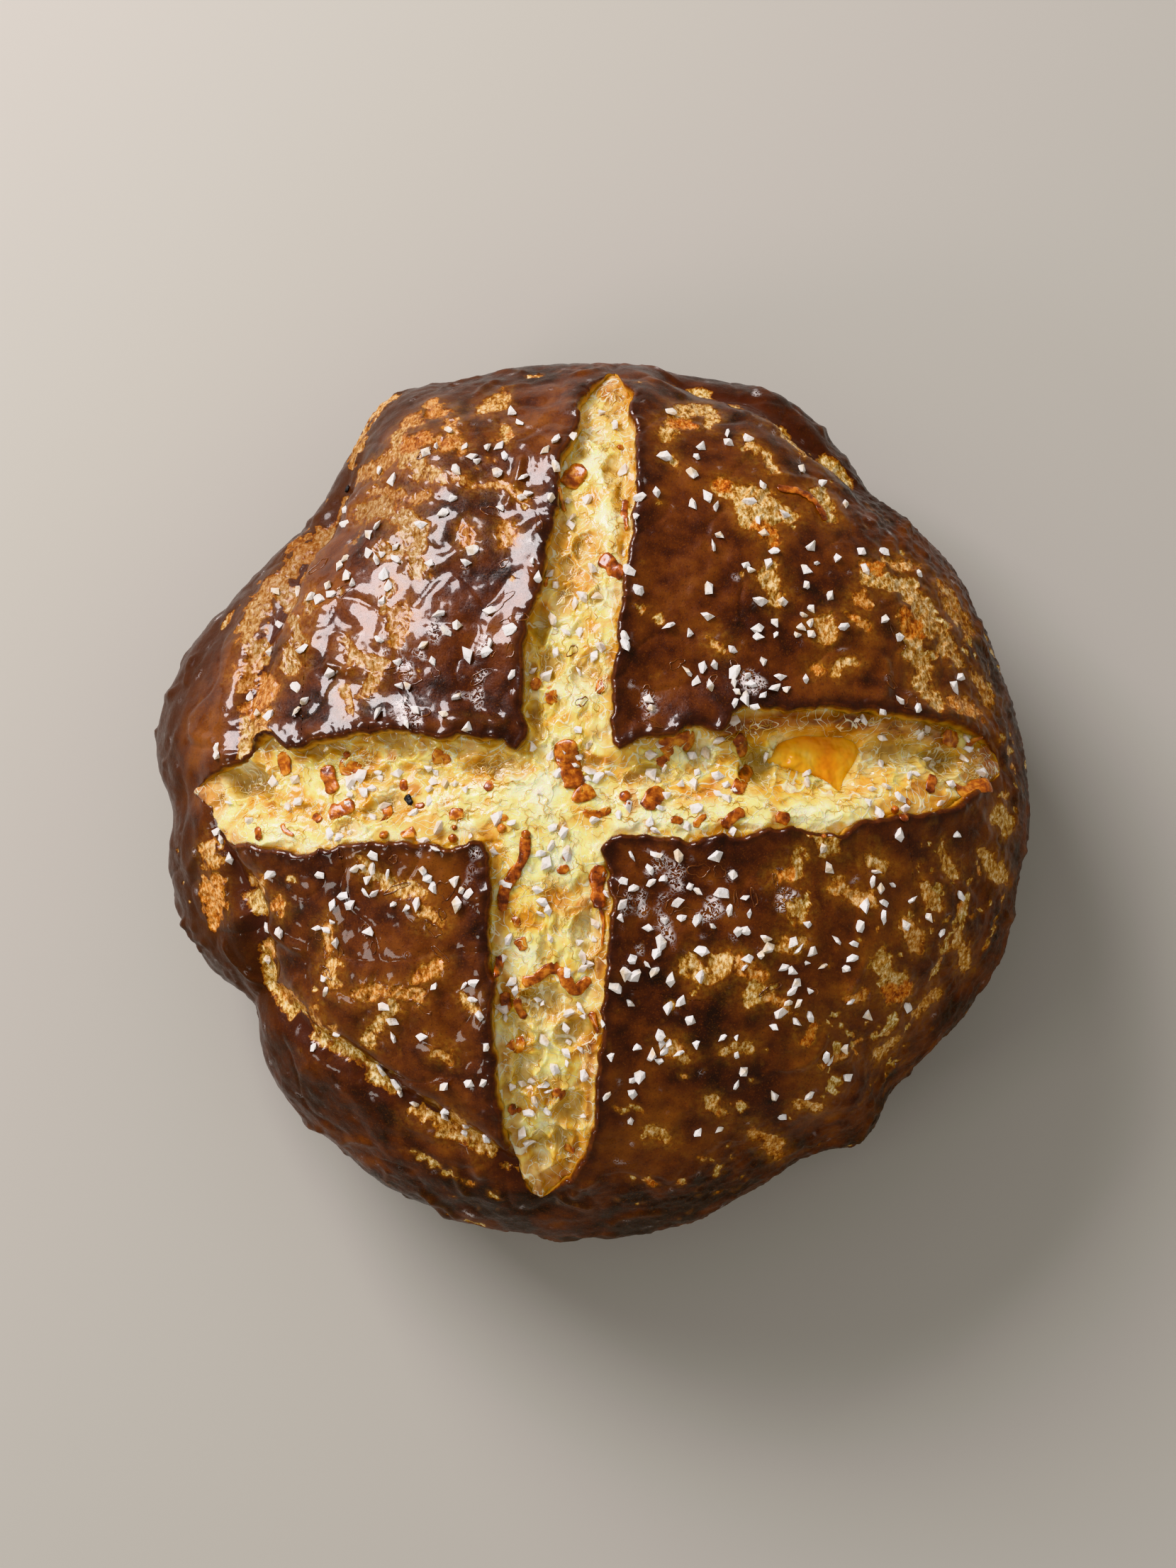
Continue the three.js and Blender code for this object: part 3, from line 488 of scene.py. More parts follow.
# %% Torn patches
# Strokes in mm where the skin tore open.
TORN = [  # half width, share of toasted orange cheddar, then x and y of each point
    # back left quarter
    (1.3, 0.3, -60, 82, -56, 94, -50, 100), (1.4, 0.7, -39, 92, -36, 91), (1.8, 0.2, -27, 90, -23, 94),
    (1.6, 0.5, -46, 88, -42, 89), (1.9, 0.1, -47, 84, -43, 77, -38, 71), (2.0, 1.0, -44, 82, -41, 82),
    (1.6, 0.9, -37, 81, -35, 80), (1.5, 0.0, -22, 83, -21, 81), (2.0, 0.5, -57, 77, -52, 77, -48, 79),
    (2.4, 0.2, -56, 66, -49, 65), (2.4, 0.0, -45, 62, -42, 56, -41, 48), (1.4, 0.2, -43, 55, -49, 52),
    (1.4, 0.8, -30, 57, -29, 54), (1.2, 0.5, -21, 57, -20, 55), (1.9, 0.5, -69, 65, -75, 54, -80, 47),
    (2.0, 0.2, -80, 47, -84, 38, -83, 32), (2.0, 1.0, -73, 60, -70, 56), (1.3, 0.1, -76, 50, -74, 43),
    (1.5, 0.3, -67, 44, -67, 41), (1.8, 0.0, -72, 39, -70, 36), (1.7, 0.1, -69, 34, -71, 30, -72, 26),
    (2.4, 0.8, -80, 25, -78, 21, -81, 18), (1.0, 0.3, -47, 46, -48, 38), (1.7, 0.6, -44, 38, -46, 31),
    (1.6, 0.3, -58, 30, -51, 25, -52, 20), (1.3, 0.4, -63, 72, -65, 68), (1.1, 0.6, -34, 87, -31, 78),
    (0.9, 0.7, -53, 72, -47, 68, -40, 66), (0.9, 0.7, -71, 51, -73, 46), (1.3, 0.6, -83, 29, -85, 24),
    (0.7, 0.4, -33, 70, -24, 69, -16, 66), (1.0, 0.2, -58, 20, -55, 16), (2.1, 0.3, -78, 14, -77, 6),
    # back right quarter
    (1.5, 0.1, 17, 83, 22, 91, 27, 93), (1.2, 0.1, 27, 93, 29, 91, 28, 88), (1.5, 1.0, 19, 86, 23, 87),
    (1.1, 0.0, 17, 77, 19, 75), (1.3, 0.2, 37, 81, 43, 74), (1.3, 0.2, 43, 90, 52, 82, 59, 79),
    (1.8, 0.1, 31, 68, 39, 67, 46, 62), (2.6, 0.0, 36, 67, 37, 60, 42, 62), (1.7, 0.0, 53, 69, 56, 63),
    (1.5, 1.0, 39, 58, 41, 56), (1.3, 1.0, 30, 70, 32, 70), (2.3, 0.1, 40, 47, 42, 42),
    (1.9, 0.1, 64, 47, 69, 47, 76, 46), (1.4, 1.0, 64, 50, 67, 50), (1.6, 0.6, 62, 42, 64, 41),
    (1.4, 0.3, 53, 35, 54, 33), (2.8, 0.2, 76, 43, 81, 37), (2.0, 0.9, 74, 37, 76, 35),
    (1.8, 0.2, 76, 32, 77, 22, 80, 18), (1.4, 0.2, 56, 24, 59, 26), (1.2, 0.7, 51, 25, 52, 24),
    (1.8, 0.4, 85, 47, 88, 42, 90, 38), (1.8, 0.3, 84, 34, 86, 30), (1.7, 0.4, 92, 26, 96, 20),
    (1.0, 0.7, 60, 37, 63, 35), (1.2, 0.4, 69, 53, 77, 52), (1.6, 0.6, 85, 19, 91, 17),
    (1.0, 0.3, 27, 30, 30, 29),
    # front left quarter
    (1.5, 0.1, -52, -21, -46, -25, -40, -28), (1.2, 0.3, -39, -31, -36, -35),
    (1.4, 0.4, -82, -24, -79, -25), (1.4, 0.6, -75, -30, -73, -31), (1.2, 0.4, -62, -35, -62, -41),
    (1.5, 0.2, -61, -44, -60, -48), (1.4, 0.5, -54, -50, -47, -49, -40, -50),
    (1.7, 0.1, -46, -53, -50, -58, -52, -61), (1.4, 0.6, -39, -46, -35, -44),
    (1.1, 0.1, -29, -51, -27, -52), (1.1, 0.4, -36, -63, -33, -64), (1.3, 0.4, -33, -79, -32, -83),
    (1.2, 0.2, -43, -79, -35, -83, -25, -87), (2.2, 0.6, -92, -25, -92, -32),
    (1.8, 0.3, -93, -16, -91, -19), (1.2, 0.4, -66, -55, -61, -62), (1.2, 0.4, -80, -39, -78, -42),
    (1.2, 0.5, -76, -50, -70, -53),
    # front right quarter
    (2.3, 0.0, 51, -14, 54, -17), (1.5, 0.1, 47, -20, 47, -23), (1.4, 0.2, 62, -19, 67, -21),
    (2.2, 0.1, 97, -6, 99, -10), (2.2, 0.2, 94, -18, 98, -22), (1.7, 0.1, 29, -42, 26, -46, 22, -44),
    (1.5, 0.6, 33, -44, 37, -46), (1.8, 0.0, 35, -49, 36, -50), (1.4, 0.8, 42, -24, 45, -23),
    (1.5, 0.3, 42, -39, 47, -38), (1.2, 0.1, 45, -31, 47, -33), (1.6, 0.4, 57, -26, 62, -29),
    (2.1, 0.1, 66, -42, 69, -47), (1.6, 1.0, 69, -49, 72, -50), (1.8, 0.5, 72, -34, 75, -37),
    (1.2, 0.5, 39, -51, 44, -54), (1.6, 0.9, 49, -57, 48, -60), (1.5, 0.3, 17, -63, 21, -64),
    (1.0, 0.2, 30, -63, 35, -62), (1.3, 0.2, 27, -76, 30, -78), (1.3, 0.2, 13, -82, 16, -83),
    (1.2, 0.5, 37, -82, 44, -87), (1.2, 0.4, 48, -75, 52, -76), (1.2, 0.7, 58, -51, 62, -50),
    (1.5, 0.3, 77, -26, 80, -30), (1.6, 0.2, 82, -17, 85, -22), (1.1, 0.6, 53, -67, 58, -65),
    (1.2, 0.3, 67, -64, 71, -61), (1.6, 0.3, 86, -38, 89, -42), (1.3, 0.4, 76, -54, 81, -50),
]

# Broken spots come from noise, thicker in these places: x, y, spread, how much is broken.
SPECKLED = [
    (84, 34, 20, 0.58), (94, 4, 19, 0.7), (82, -30, 24, 0.62), (62, -62, 25, 0.58), (30, -88, 22, 0.56),
    (-58, 78, 20, 0.24), (-30, 94, 18, 0.3), (-48, 64, 16, 0.12), (36, 66, 14, 0.34),
    (60, 70, 16, 0.34), (-80, 36, 14, 0.2), (-70, -58, 16, 0.3), (-34, -88, 16, 0.4),
    (48, -40, 18, 0.38), (-84, -24, 14, 0.34),
]

# Where the glaze dried to a pale froth: x, y, spread. Its pale lace is partly the froth's own colour and
# partly painted glints of its bubbles.
FROTH_AND_PAINTED_GLINTS = [
    (-45, 27, 5.5), (-42, 14, 5), (-25, 30, 4), (-36, 34, 4), (-27, 20, 4), (13, 16, 3.5),
    (17, -23, 5.5), (10, -30, 4), (15, -36, 5), (28, -31, 4.5), (43, -28, 4), (-27, -18, 2.5),
    (36, 21, 4),
]


SMEAR = 2.4  # mm that a tear is drawn out around the loaf
LEAST_BROKEN = 0.06
SIDES_BROKEN = 0.3
# painted shade: near the window the tears are browned, to hold back the window's light
NEAR_WINDOW_PAINTED_SHADE = (-64, 56, 40)  # x, y, spread of the place where the tears are browner


def unit(vectors):
    return vectors / np.maximum(np.linalg.norm(vectors, axis=-1, keepdims=True), 1e-12)


def pairs(numbers):
    """The points of a flat row of numbers."""
    return list(zip(numbers[::2], numbers[1::2]))


def stroke_distance(x, y, points):
    """Distance to a line through the points."""
    away = np.full(len(x), np.inf)
    for (ax, ay), (bx, by) in zip(points, points[1:]):
        length2 = (bx - ax) ** 2 + (by - ay) ** 2
        share = np.clip(((x - ax) * (bx - ax) + (y - ay) * (by - ay)) / length2, 0, 1)
        away = np.minimum(away, np.hypot(x - ax - share * (bx - ax), y - ay - share * (by - ay)))
    return away


print(len(TORN), "torn strokes")

# %% Cheddar under the skin
BURIED_COUNT = 300
dice = np.random.default_rng(23)
buried_bearing = dice.uniform(0, 360, BURIED_COUNT)
buried_level = np.clip(np.sqrt(dice.uniform(0.01, 2.6, BURIED_COUNT)), 0, 1.9)
buried_heading = dice.uniform(0, math.pi, BURIED_COUNT)
buried_length = dice.uniform(2.5, 6.5, BURIED_COUNT)
buried_width = dice.uniform(1.0, 1.8, BURIED_COUNT)
buried_height = dice.uniform(0.25, 0.9, BURIED_COUNT)
buried_middle = dome_point(buried_bearing, buried_level)
buried_normal = dome_normal(buried_bearing, buried_level)
BOX_SIZE = 12.0  # mm, of the boxes that sort the skin's points by place


def sort_into_boxes(points):
    """Which points lie in each box of space."""
    keys = np.floor(points / BOX_SIZE).astype(int)
    order = np.lexsort(keys.T)
    breaks = np.flatnonzero(np.any(np.diff(keys[order], axis=0) != 0, axis=1)) + 1
    return {tuple(keys[group[0]]): group for group in np.split(order, breaks)}


def buried_ridges(points):
    """Height of the ridges over the buried shreds."""
    height = np.zeros(len(points))
    boxes = sort_into_boxes(points)
    for i in range(BURIED_COUNT):
        middle, normal = buried_middle[i], buried_normal[i]
        home = np.floor(middle / BOX_SIZE).astype(int)
        around = [tuple(home + np.array(d) - 1) for d in np.ndindex(3, 3, 3)]
        near = [boxes[key] for key in around if key in boxes]
        if not near:
            continue
        near = np.concatenate(near)
        east = np.cross([0.0, 0.0, 1.0], normal) + [1e-6, 0, 0]
        east /= np.linalg.norm(east)
        north = np.cross(normal, east)
        heading = math.cos(buried_heading[i]) * east + math.sin(buried_heading[i]) * north
        away = points[near] - middle
        along = away @ heading
        bend = 0.05 * along**2 * math.sin(7.0 * i)
        sideways = away @ np.cross(normal, heading) + bend
        beyond = np.maximum(np.abs(along) - buried_length[i], 0)
        height[near] += buried_height[i] * bell(np.hypot(sideways, beyond) / buried_width[i])
    return height


print(BURIED_COUNT, "shreds under the skin")


# %% How torn the skin is
def tear_masks(base, level, lip, crack):
    """How far the skin is torn, from 0 to 1, how orange it is there, and its thin surround."""
    x, y, _ = base.T
    upper = step(1.06 - level, 0, 0.06)
    fray = rough(base, 2.4, 3, 65)
    warp_x = x + 1.8 * rough(base, 7.0, 2, 61) + 0.9 * fray
    warp_y = y + 1.8 * rough(base, 7.0, 2, 71) + 0.9 * rough(base, 2.4, 3, 75)
    torn, orange, halo = np.zeros((3, len(x)))
    for width, toast, *line in TORN:
        away = stroke_distance(warp_x, warp_y, pairs(line)) - width
        inside = step(-away, -1.1, 0.6) * upper
        torn = np.maximum(torn, inside)
        orange = np.maximum(orange, step(inside, 0.2, 0.6) * (0.1 + toast))
        halo = np.maximum(halo, bell(np.maximum(away, 0) / 2.4) * upper)
    amount = np.maximum(patches(x, y, SPECKLED), LEAST_BROKEN)
    amount = np.maximum(amount, SIDES_BROKEN * step(level, 0.9, 1.1) * step(1.8 - level, 0, 0.3))
    web = 0.62 * ridges(base * [1, 1, 0.7], 8.0, 83) - 0.15 + 0.42 * noise(base, 4.6, 85) + 0.3 * fray
    around = SMEAR * unit(np.stack([-y, x, 0 * x], -1))
    blot = 0.74 * (rough(base + around, 6.0, 3, 81) + rough(base - around, 6.0, 3, 81)) + 0.25 * fray
    field = np.maximum(blot, mix(blot, web, step(amount, 0.24, 0.5)))
    spots = step(field, 1.05 - amount, 1.22 - amount) * step(lip, 1.2, 4.5)
    halo = np.maximum(halo, 0.6 * step(field, 0.76 - amount, 1.1 - amount))
    torn = np.maximum(torn, spots)
    orange = np.maximum(orange, step(spots, 0.2, 0.6) * step(noise(base, 5.0, 101), 0.1, 0.6))
    seam_open = step(crack, 0.45, 0.85) * step(noise(base, 8.0, 107), -0.2, 0.35)
    torn = np.maximum(torn, 0.9 * seam_open)
    # near the window the tears are also less orange, tuned together with the painted shade there
    orange *= 1 - 0.5 * patches(x, y, [NEAR_WINDOW_PAINTED_SHADE])
    torn = np.clip(torn + 0.45 * rough(base, 2.8, 3, 91) * step(torn, 0.02, 0.3), 0, 1)
    return torn, np.clip(orange, 0, 1), halo


# %% The whole relief
def crust_relief(bearing, level):
    """Height of the skin over the plain dome, with the masks that its colours need."""
    base = dome_point(bearing, level)
    x, y, z = base.T
    upper = step(1.06 - level, 0, 0.06)
    lip = lip_distance(x, y)
    tip = tip_closeness(x, y) * upper
    share = np.hypot(x, y) / outline_radius(bearing)
    height = np.zeros(len(x))
    for sx, sy, rise, spread in SWELLS:
        height += rise * bell(np.hypot(x - sx, y - sy) / spread)
    height += LIP_RAISE * bell(np.maximum(lip, 0) / LIP_SPREAD) * (1 - tip)
    wander = 0.012 * noise(base, 9.0, 3)
    crack = crack_share(SHOULDER_CRACK, bearing, share, wander)
    crack = (crack + crack_share(BACK_TUCK, bearing, share, wander)) * upper
    height -= CRACK_DEPTH * crack
    height *= upper
    for at, middle, outward, turn_spread, height_spread in SIDE_LOBES:
        turn = turn_between(bearing, at) / turn_spread
        height += outward * bell(turn) * bell((z - middle) / height_spread)

    torn, orange, halo = tear_masks(base, level, lip, crack)
    open_place = step(torn, 0.38, 0.72)
    rim = bell((torn - 0.22) / 0.14) * step(noise(base, 6.0, 109), -0.2, 0.3)
    fibres = ridges(base * [1, 1, 0.6], 1.7, 111) * 0.34 + ridges(base, 3.1, 113) * 0.3
    quiet = step(z, 0, 12.0)
    ridge = buried_ridges(base)
    near_lip = bell(np.maximum(lip, 0) / 2.4) * upper * (1 - tip)
    grit = step(share, 0.72, 0.92) * step(np.cos(np.radians(bearing + 15)), 0.1, 0.6)
    height += quiet * (
        ridge * (1 - 0.6 * open_place)
        + uneven(base, (0.8, 19.0, 121), (0.42, 8.5, 123), (0.26, 4.2, 125))
        + 0.06 * rough(base, 1.7, 2, 127)
        + 0.2 * rim
        + open_place * (1.1 * fibres - 0.5)
        + near_lip * uneven(base, (0.7, 3.6, 131), (0.5, 1.8, 133))
        + grit * (0.45 * np.abs(rough(base, 2.6, 2, 135)) + 0.3 * rough(base, 5.0, 2, 137) - 0.15)
        - 0.35 * ridges(base * [1, 1, 0.5], 14.0, 129) ** 6
    )
    side = step(share + 0.02 * noise(base, 12.0, 145), 0.84, 0.97)
    froth_and_painted_glints = step(patches(x, y, FROTH_AND_PAINTED_GLINTS) + 0.9 * noise(base, 3.2, 143), 0.5, 1.0)
    masks = {
        "torn": torn,
        "orange": orange,
        "halo": halo,
        "rim": rim,
        "ridge": np.clip(ridge, 0, 1),
        "crack": crack,
        "froth_and_painted_glints": froth_and_painted_glints * (1 - open_place) * step(lip, 0.5, 2.0),
        "side": side,
        # painted shade on the tears near the window
        "tears_painted_shade": 0.68 * patches(x, y, [(*NEAR_WINDOW_PAINTED_SHADE[:2], 44)]),
        # painted shade: the side that faces the windows is darkened, to hold back their light
        "window_side_painted_shade": side * step(np.cos(np.radians(bearing - 165)), 0.2, 0.8),
    }
    return base, height, masks


def on_crust(bearing, level):
    base, height, masks = crust_relief(bearing, level)
    return base + dome_normal(bearing, level) * height[:, None], masks


print("relief ready")

# %% [markdown]
# ## Meshes from arrays
#
# Blender reads a mesh fastest when whole arrays are handed over. The helpers below turn points
# and triangles into an object, close an open sheet to a hidden point inside the loaf so that the
# piece is a true solid, and give it smooth normals that ignore the hidden faces.


# %% Mesh helpers
def open_edges(faces):
    """Directed edges that have no partner: the rim of the sheet."""
    edges = np.vstack([faces[:, [0, 1]], faces[:, [1, 2]], faces[:, [2, 0]]]).astype(np.int64)
    count = int(edges.max()) + 1
    code = edges[:, 0] * count + edges[:, 1]
    partner = edges[:, 1] * count + edges[:, 0]
    return edges[~np.isin(code, partner)]


def quads_to_triangles(quads):
    faces = np.vstack([quads[:, [0, 1, 2]], quads[:, [0, 2, 3]]])
    a, b, c = faces.T
    return faces[(a != b) & (b != c) & (c != a)]


def grid_quads(index, closed=False):
    """Faces of a grid of point numbers; a closed grid joins its last column to its first."""
    if closed:
        index = np.column_stack([index, index[:, :1]])
    quads = np.stack([index[:-1, :-1], index[1:, :-1], index[1:, 1:], index[:-1, 1:]], -1)
    return quads_to_triangles(quads.reshape(-1, 4))


def close_sheet(points, faces, apex):
    """The sheet with a fan from its rim to the apex, and how many of the faces show."""
    rim = open_edges(faces)
    fan = np.column_stack([rim[:, 1], rim[:, 0], np.full(len(rim), len(points))])
    return np.vstack([points, [apex]]), np.vstack([faces, fan]), len(faces)


def point_normals(points, faces):
    a, b, c = points[faces[:, 0]], points[faces[:, 1]], points[faces[:, 2]]
    face_normals = np.cross(b - a, c - a)
    normals = np.zeros_like(points)
    for corner in range(3):
        for axis in range(3):
            normals[:, axis] += np.bincount(faces[:, corner], face_normals[:, axis], len(points))
    return normals


def mesh_piece(name, points, faces, materials, masks=None, normals=None, shown=None):
    """An object from arrays in mm; masks are numbers for each point that a material can read."""
    mesh = bpy.data.meshes.new(name)
    mesh.vertices.add(len(points))
    mesh.vertices.foreach_set("co", ((points + PLAN_SHIFT) * MM).astype(np.float32).ravel())
    mesh.loops.add(3 * len(faces))
    mesh.loops.foreach_set("vertex_index", faces.astype(np.int32).ravel())
    mesh.polygons.add(len(faces))
    mesh.polygons.foreach_set("loop_start", np.arange(0, 3 * len(faces), 3, dtype=np.int32))
    mesh.update(calc_edges=True)
    mesh.polygons.foreach_set("use_smooth", np.ones(len(faces), dtype=bool))
    for key, values in (masks or {}).items():
        layer = mesh.attributes.new(key, "FLOAT", "POINT")
        full = np.zeros(len(points), dtype=np.float32)
        full[: len(values)] = values
        layer.data.foreach_set("value", full)
    if normals is not None:
        corners = unit(normals)[faces].reshape(-1, 3)
        a, b, c = (points[faces[shown:, i]] for i in range(3))
        corners[3 * shown :] = np.repeat(unit(np.cross(b - a, c - a)), 3, axis=0)
        mesh.normals_split_custom_set(corners)
    for material in materials:
        mesh.materials.append(material)
    piece = bpy.data.objects.new(name, mesh)
    bpy.context.scene.collection.objects.link(piece)
    print(f"{name}: {len(faces)} triangles")
    return piece


# %% [markdown]
# ## Materials
#
# One small helper adds a node, sets its values and makes its links, so that each material reads
# like a recipe. Every pattern is in object coordinates, with its scale worked out from a size in
# millimetres on the real loaf.


# %% Material helpers
def new_material(name):
    """A material, its node tree, and the object coordinates that its patterns read."""
    material = bpy.data.materials.new(name)
    material.use_nodes = True
    tree = material.node_tree
    tree.nodes.clear()
    return material, tree, add(tree, "ShaderNodeTexCoord").outputs["Object"]


def add(tree, kind, links=None, **settings):
    """Adds a node; settings are its properties or its inputs, links join its inputs."""
    node = tree.nodes.new(kind)
    for key, value in settings.items():
        if hasattr(node, key):
            setattr(node, key, value)
        else:
            node.inputs[key.replace("_", " ")].default_value = value
    for key, source in (links or {}).items():
        tree.links.new(source, node.inputs[key])
    return node


def per_mm(size):
    """The scale of a noise texture whose bumps are about `size` mm across."""
    return 1.0 / (size * MM)


def reading(tree, source):
    """The output that a source stands for: a name is a mask of the mesh."""
    if isinstance(source, str):
        return add(tree, "ShaderNodeAttribute", attribute_name=source).outputs["Fac"]
    return source


def ramp_of(tree, value, stops):
    """A number turned to a colour; stops are places with a hex colour or a grey level."""
    node = add(tree, "ShaderNodeValToRGB", {"Fac": reading(tree, value)})
    marks = node.color_ramp.elements
    marks.remove(marks[1])
    for i, (place, shade) in enumerate(stops):
        mark = marks.new(place) if i else marks[0]
        mark.position = place
        mark.color = colour(shade) if isinstance(shade, str) else (shade, shade, shade, 1.0)
    return node.outputs["Color"]


def cover(tree, mask, under, over, most=1.0):
    """The colour `over` where the mask is 1 and `under` where it is 0; `most` thins it."""
    mask = reading(tree, mask)
    if most < 1.0:
        mask = number(tree, "MULTIPLY", mask, most)
    node = add(tree, "ShaderNodeMix", {0: mask, 6: under}, data_type="RGBA")
    if isinstance(over, str):
        node.inputs[7].default_value = colour(over)
    else:
        tree.links.new(over, node.inputs[7])
    return node.outputs[2]


def texture(tree, place, size, detail=3.0, roughness=0.55):
    node = add(tree, "ShaderNodeTexNoise", {"Vector": place}, Detail=detail, Roughness=roughness)
    node.inputs["Scale"].default_value = per_mm(size)
    return node.outputs["Fac"]


def curls(tree, place, size, width):
    """Thin curly lines, 1 on the line: the places where soft noise passes through its middle."""
    node = add(tree, "ShaderNodeTexNoise", {"Vector": place}, Detail=1.0, Roughness=0.5, Distortion=1.2)
    node.inputs["Scale"].default_value = per_mm(size)
    stops = [(0.5 - 2 * width, 0.0), (0.5 - width, 1.0), (0.5 + width, 1.0), (0.5 + 2 * width, 0.0)]
    return ramp_of(tree, node.outputs["Fac"], stops)


def number(tree, operation, a, b):
    """A sum on numbers, masks or the outputs of other nodes."""
    node = add(tree, "ShaderNodeMath", operation=operation)
    for socket, value in zip(node.inputs, (a, b)):
        if isinstance(value, (int, float)):
            socket.default_value = value
        else:
            tree.links.new(reading(tree, value), socket)
    return node.outputs[0]


def weighted(tree, start, *parts):
    """A number plus the sum of outputs or masks, each times its weight."""
    total = start
    for source, weight in parts:
        total = number(tree, "ADD", number(tree, "MULTIPLY", source, weight), total)
    return total


def surface_of(tree, links, **constants):
    """The shader of a material, with its steady numbers on its own sockets."""
    shader = add(tree, "ShaderNodeBsdfPrincipled", links, **constants)
    add(tree, "ShaderNodeOutputMaterial", {"Surface": shader.outputs[0]})


def bumps(tree, height, millimetres):
    return add(tree, "ShaderNodeBump", {"Height": height}, Distance=millimetres * MM).outputs[0]


# %% [markdown]
# The crust is browned dough under a thin coat that set like a glaze. The skin is a deep brown with
# an amber glow where it is thin, dusted with fine lighter grain, and nearly black at the lips.
# Torn places are golden with pale fibres, and their edge frays through amber into the brown. The
# coat is what makes it shine: a clear layer with little roughness over a satin body. Some colour
# is painted light: the pale lace of dried froth also stands for painted glints of its bubbles, and
# the shoulder crack, the fine pits, the side facing the windows and the tears near the window get
# painted shade.


# %% Baked crust
def baked_crust():
    material, tree, place = new_material("baked_crust")
    broad = texture(tree, place, 26, 3)
    middle = texture(tree, place, 6, 4)
    fine = texture(tree, place, 1.3, 3, 0.65)
    grain = texture(tree, place, 0.45, 2, 0.6)
    tone = weighted(tree, 0.0, (broad, 0.55), (middle, 0.45), ("side", -0.06))
    skin = ramp_of(
        tree, tone, [(0.38, "#1E0802"), (0.46, "#421805"), (0.53, "#5E2A09"), (0.65, "#7E4412")]
    )
    thin_skin = ramp_of(tree, fine, [(0.3, "#6E330A"), (0.5, "#8E5214"), (0.72, "#B07C30")])
    glow = weighted(tree, 0.0, ("halo", 0.62), ("ridge", 0.16))
    skin = cover(tree, glow, skin, thin_skin)
    skin = cover(tree, ramp_of(tree, grain, [(0.57, 0.0), (0.72, 0.36)]), skin, "#8E4E1C")
    # painted shade: the skin is darkened where the bump sinks into fine pits
    skin = cover(tree, ramp_of(tree, grain, [(0.3, 0.4), (0.42, 0.0)]), skin, "#2E0D04")
    skin = cover(tree, "rim", skin, "#341005", 0.2)
    skin = cover(tree, "edge", skin, "#2B0E06")
    # painted shade: the shoulder crack is darkened where it folds in
    skin = cover(tree, "crack", skin, "#43190A")
    # painted shade on the side that faces the windows
    skin = cover(tree, "window_side_painted_shade", skin, "#3C1802", 0.9)
    # painted glints: the froth's pale lace is partly its own colour, partly the painted sparkle of its
    # bubbles
    lace = number(tree, "MAXIMUM", curls(tree, place, 2.6, 0.026), curls(tree, place, 1.3, 0.03))
    lace = number(tree, "MULTIPLY", "froth_and_painted_glints", lace)
    skin = cover(tree, lace, skin, "#E6DCDA", 0.9)

    fibre_place = add(tree, "ShaderNodeMapping", {"Vector": place}, Scale=(1.0, 0.5, 1.0)).outputs[0]
    fibre = texture(tree, fibre_place, 0.8, 4, 0.7)
    opened = weighted(tree, -0.81, ("torn", 1.0), (fine, 0.8), (grain, 0.3), (middle, 0.5))
    depth = weighted(tree, -0.98, (opened, 0.5), (fibre, 2.15))
    pale = ramp_of(
        tree,
        depth,
        [(0.15, "#6E3D0F"), (0.32, "#996828"), (0.46, "#BC9048"), (0.62, "#D8B878"), (0.85, "#F8E8C0")],
    )
    toast = ramp_of(
        tree, depth, [(0.15, "#6A2A08"), (0.36, "#A24C12"), (0.56, "#CC7626"), (0.85, "#EBAF62")]
    )
    torn_place = cover(tree, "orange", pale, toast)
    # painted shade: near the window the tears are browned
    torn_place = cover(tree, "tears_painted_shade", torn_place, "#6E3A10")
    frayed = ramp_of(tree, fine, [(0.35, "#70320A"), (0.5, "#98540F"), (0.66, "#C4822A")])
    body = cover(tree, ramp_of(tree, opened, [(0.28, 0.0), (0.42, 0.9)]), skin, frayed)
    body = cover(tree, ramp_of(tree, opened, [(0.46, 0.0), (0.55, 1.0)]), body, torn_place)

    wall = weighted(tree, -0.1, ("wall", 1.0), (fine, 0.2))
    cut_side = ramp_of(
        tree, wall, [(0.02, "#3A1508"), (0.08, "#6A300A"), (0.18, "#A8681C"), (0.36, "#D8A850")]
    )
    body = cover(tree, ramp_of(tree, "wall", [(0.0, 0.0), (0.06, 1.0)]), body, cut_side)

    satin = ramp_of(tree, weighted(tree, 0.0, (middle, 0.5), (fine, 0.5)), [(0.4, 0.34), (0.62, 0.56)])
    pits = ramp_of(tree, grain, [(0.28, 0.0), (0.4, 1.0)])
    relief = weighted(tree, 0.0, (pits, 0.4), (fine, 0.7), (fibre, 0.25), (lace, 1.0))
    coat = weighted(tree, 0.72, ("side", -0.45), ("torn", -0.35))
    normal = bumps(tree, relief, 0.16)
    surface_of(
        tree, {"Base Color": body, "Roughness": satin, "Normal": normal, "Coat Weight": coat},
        IOR=1.45, Specular_IOR_Level=0.3, Coat_Roughness=0.08, Coat_IOR=1.5,
        Subsurface_Weight=0.08, Subsurface_Radius=(1.0, 0.4, 0.15), Subsurface_Scale=1.2 * MM,
    )
    return material


crust_material = baked_crust()
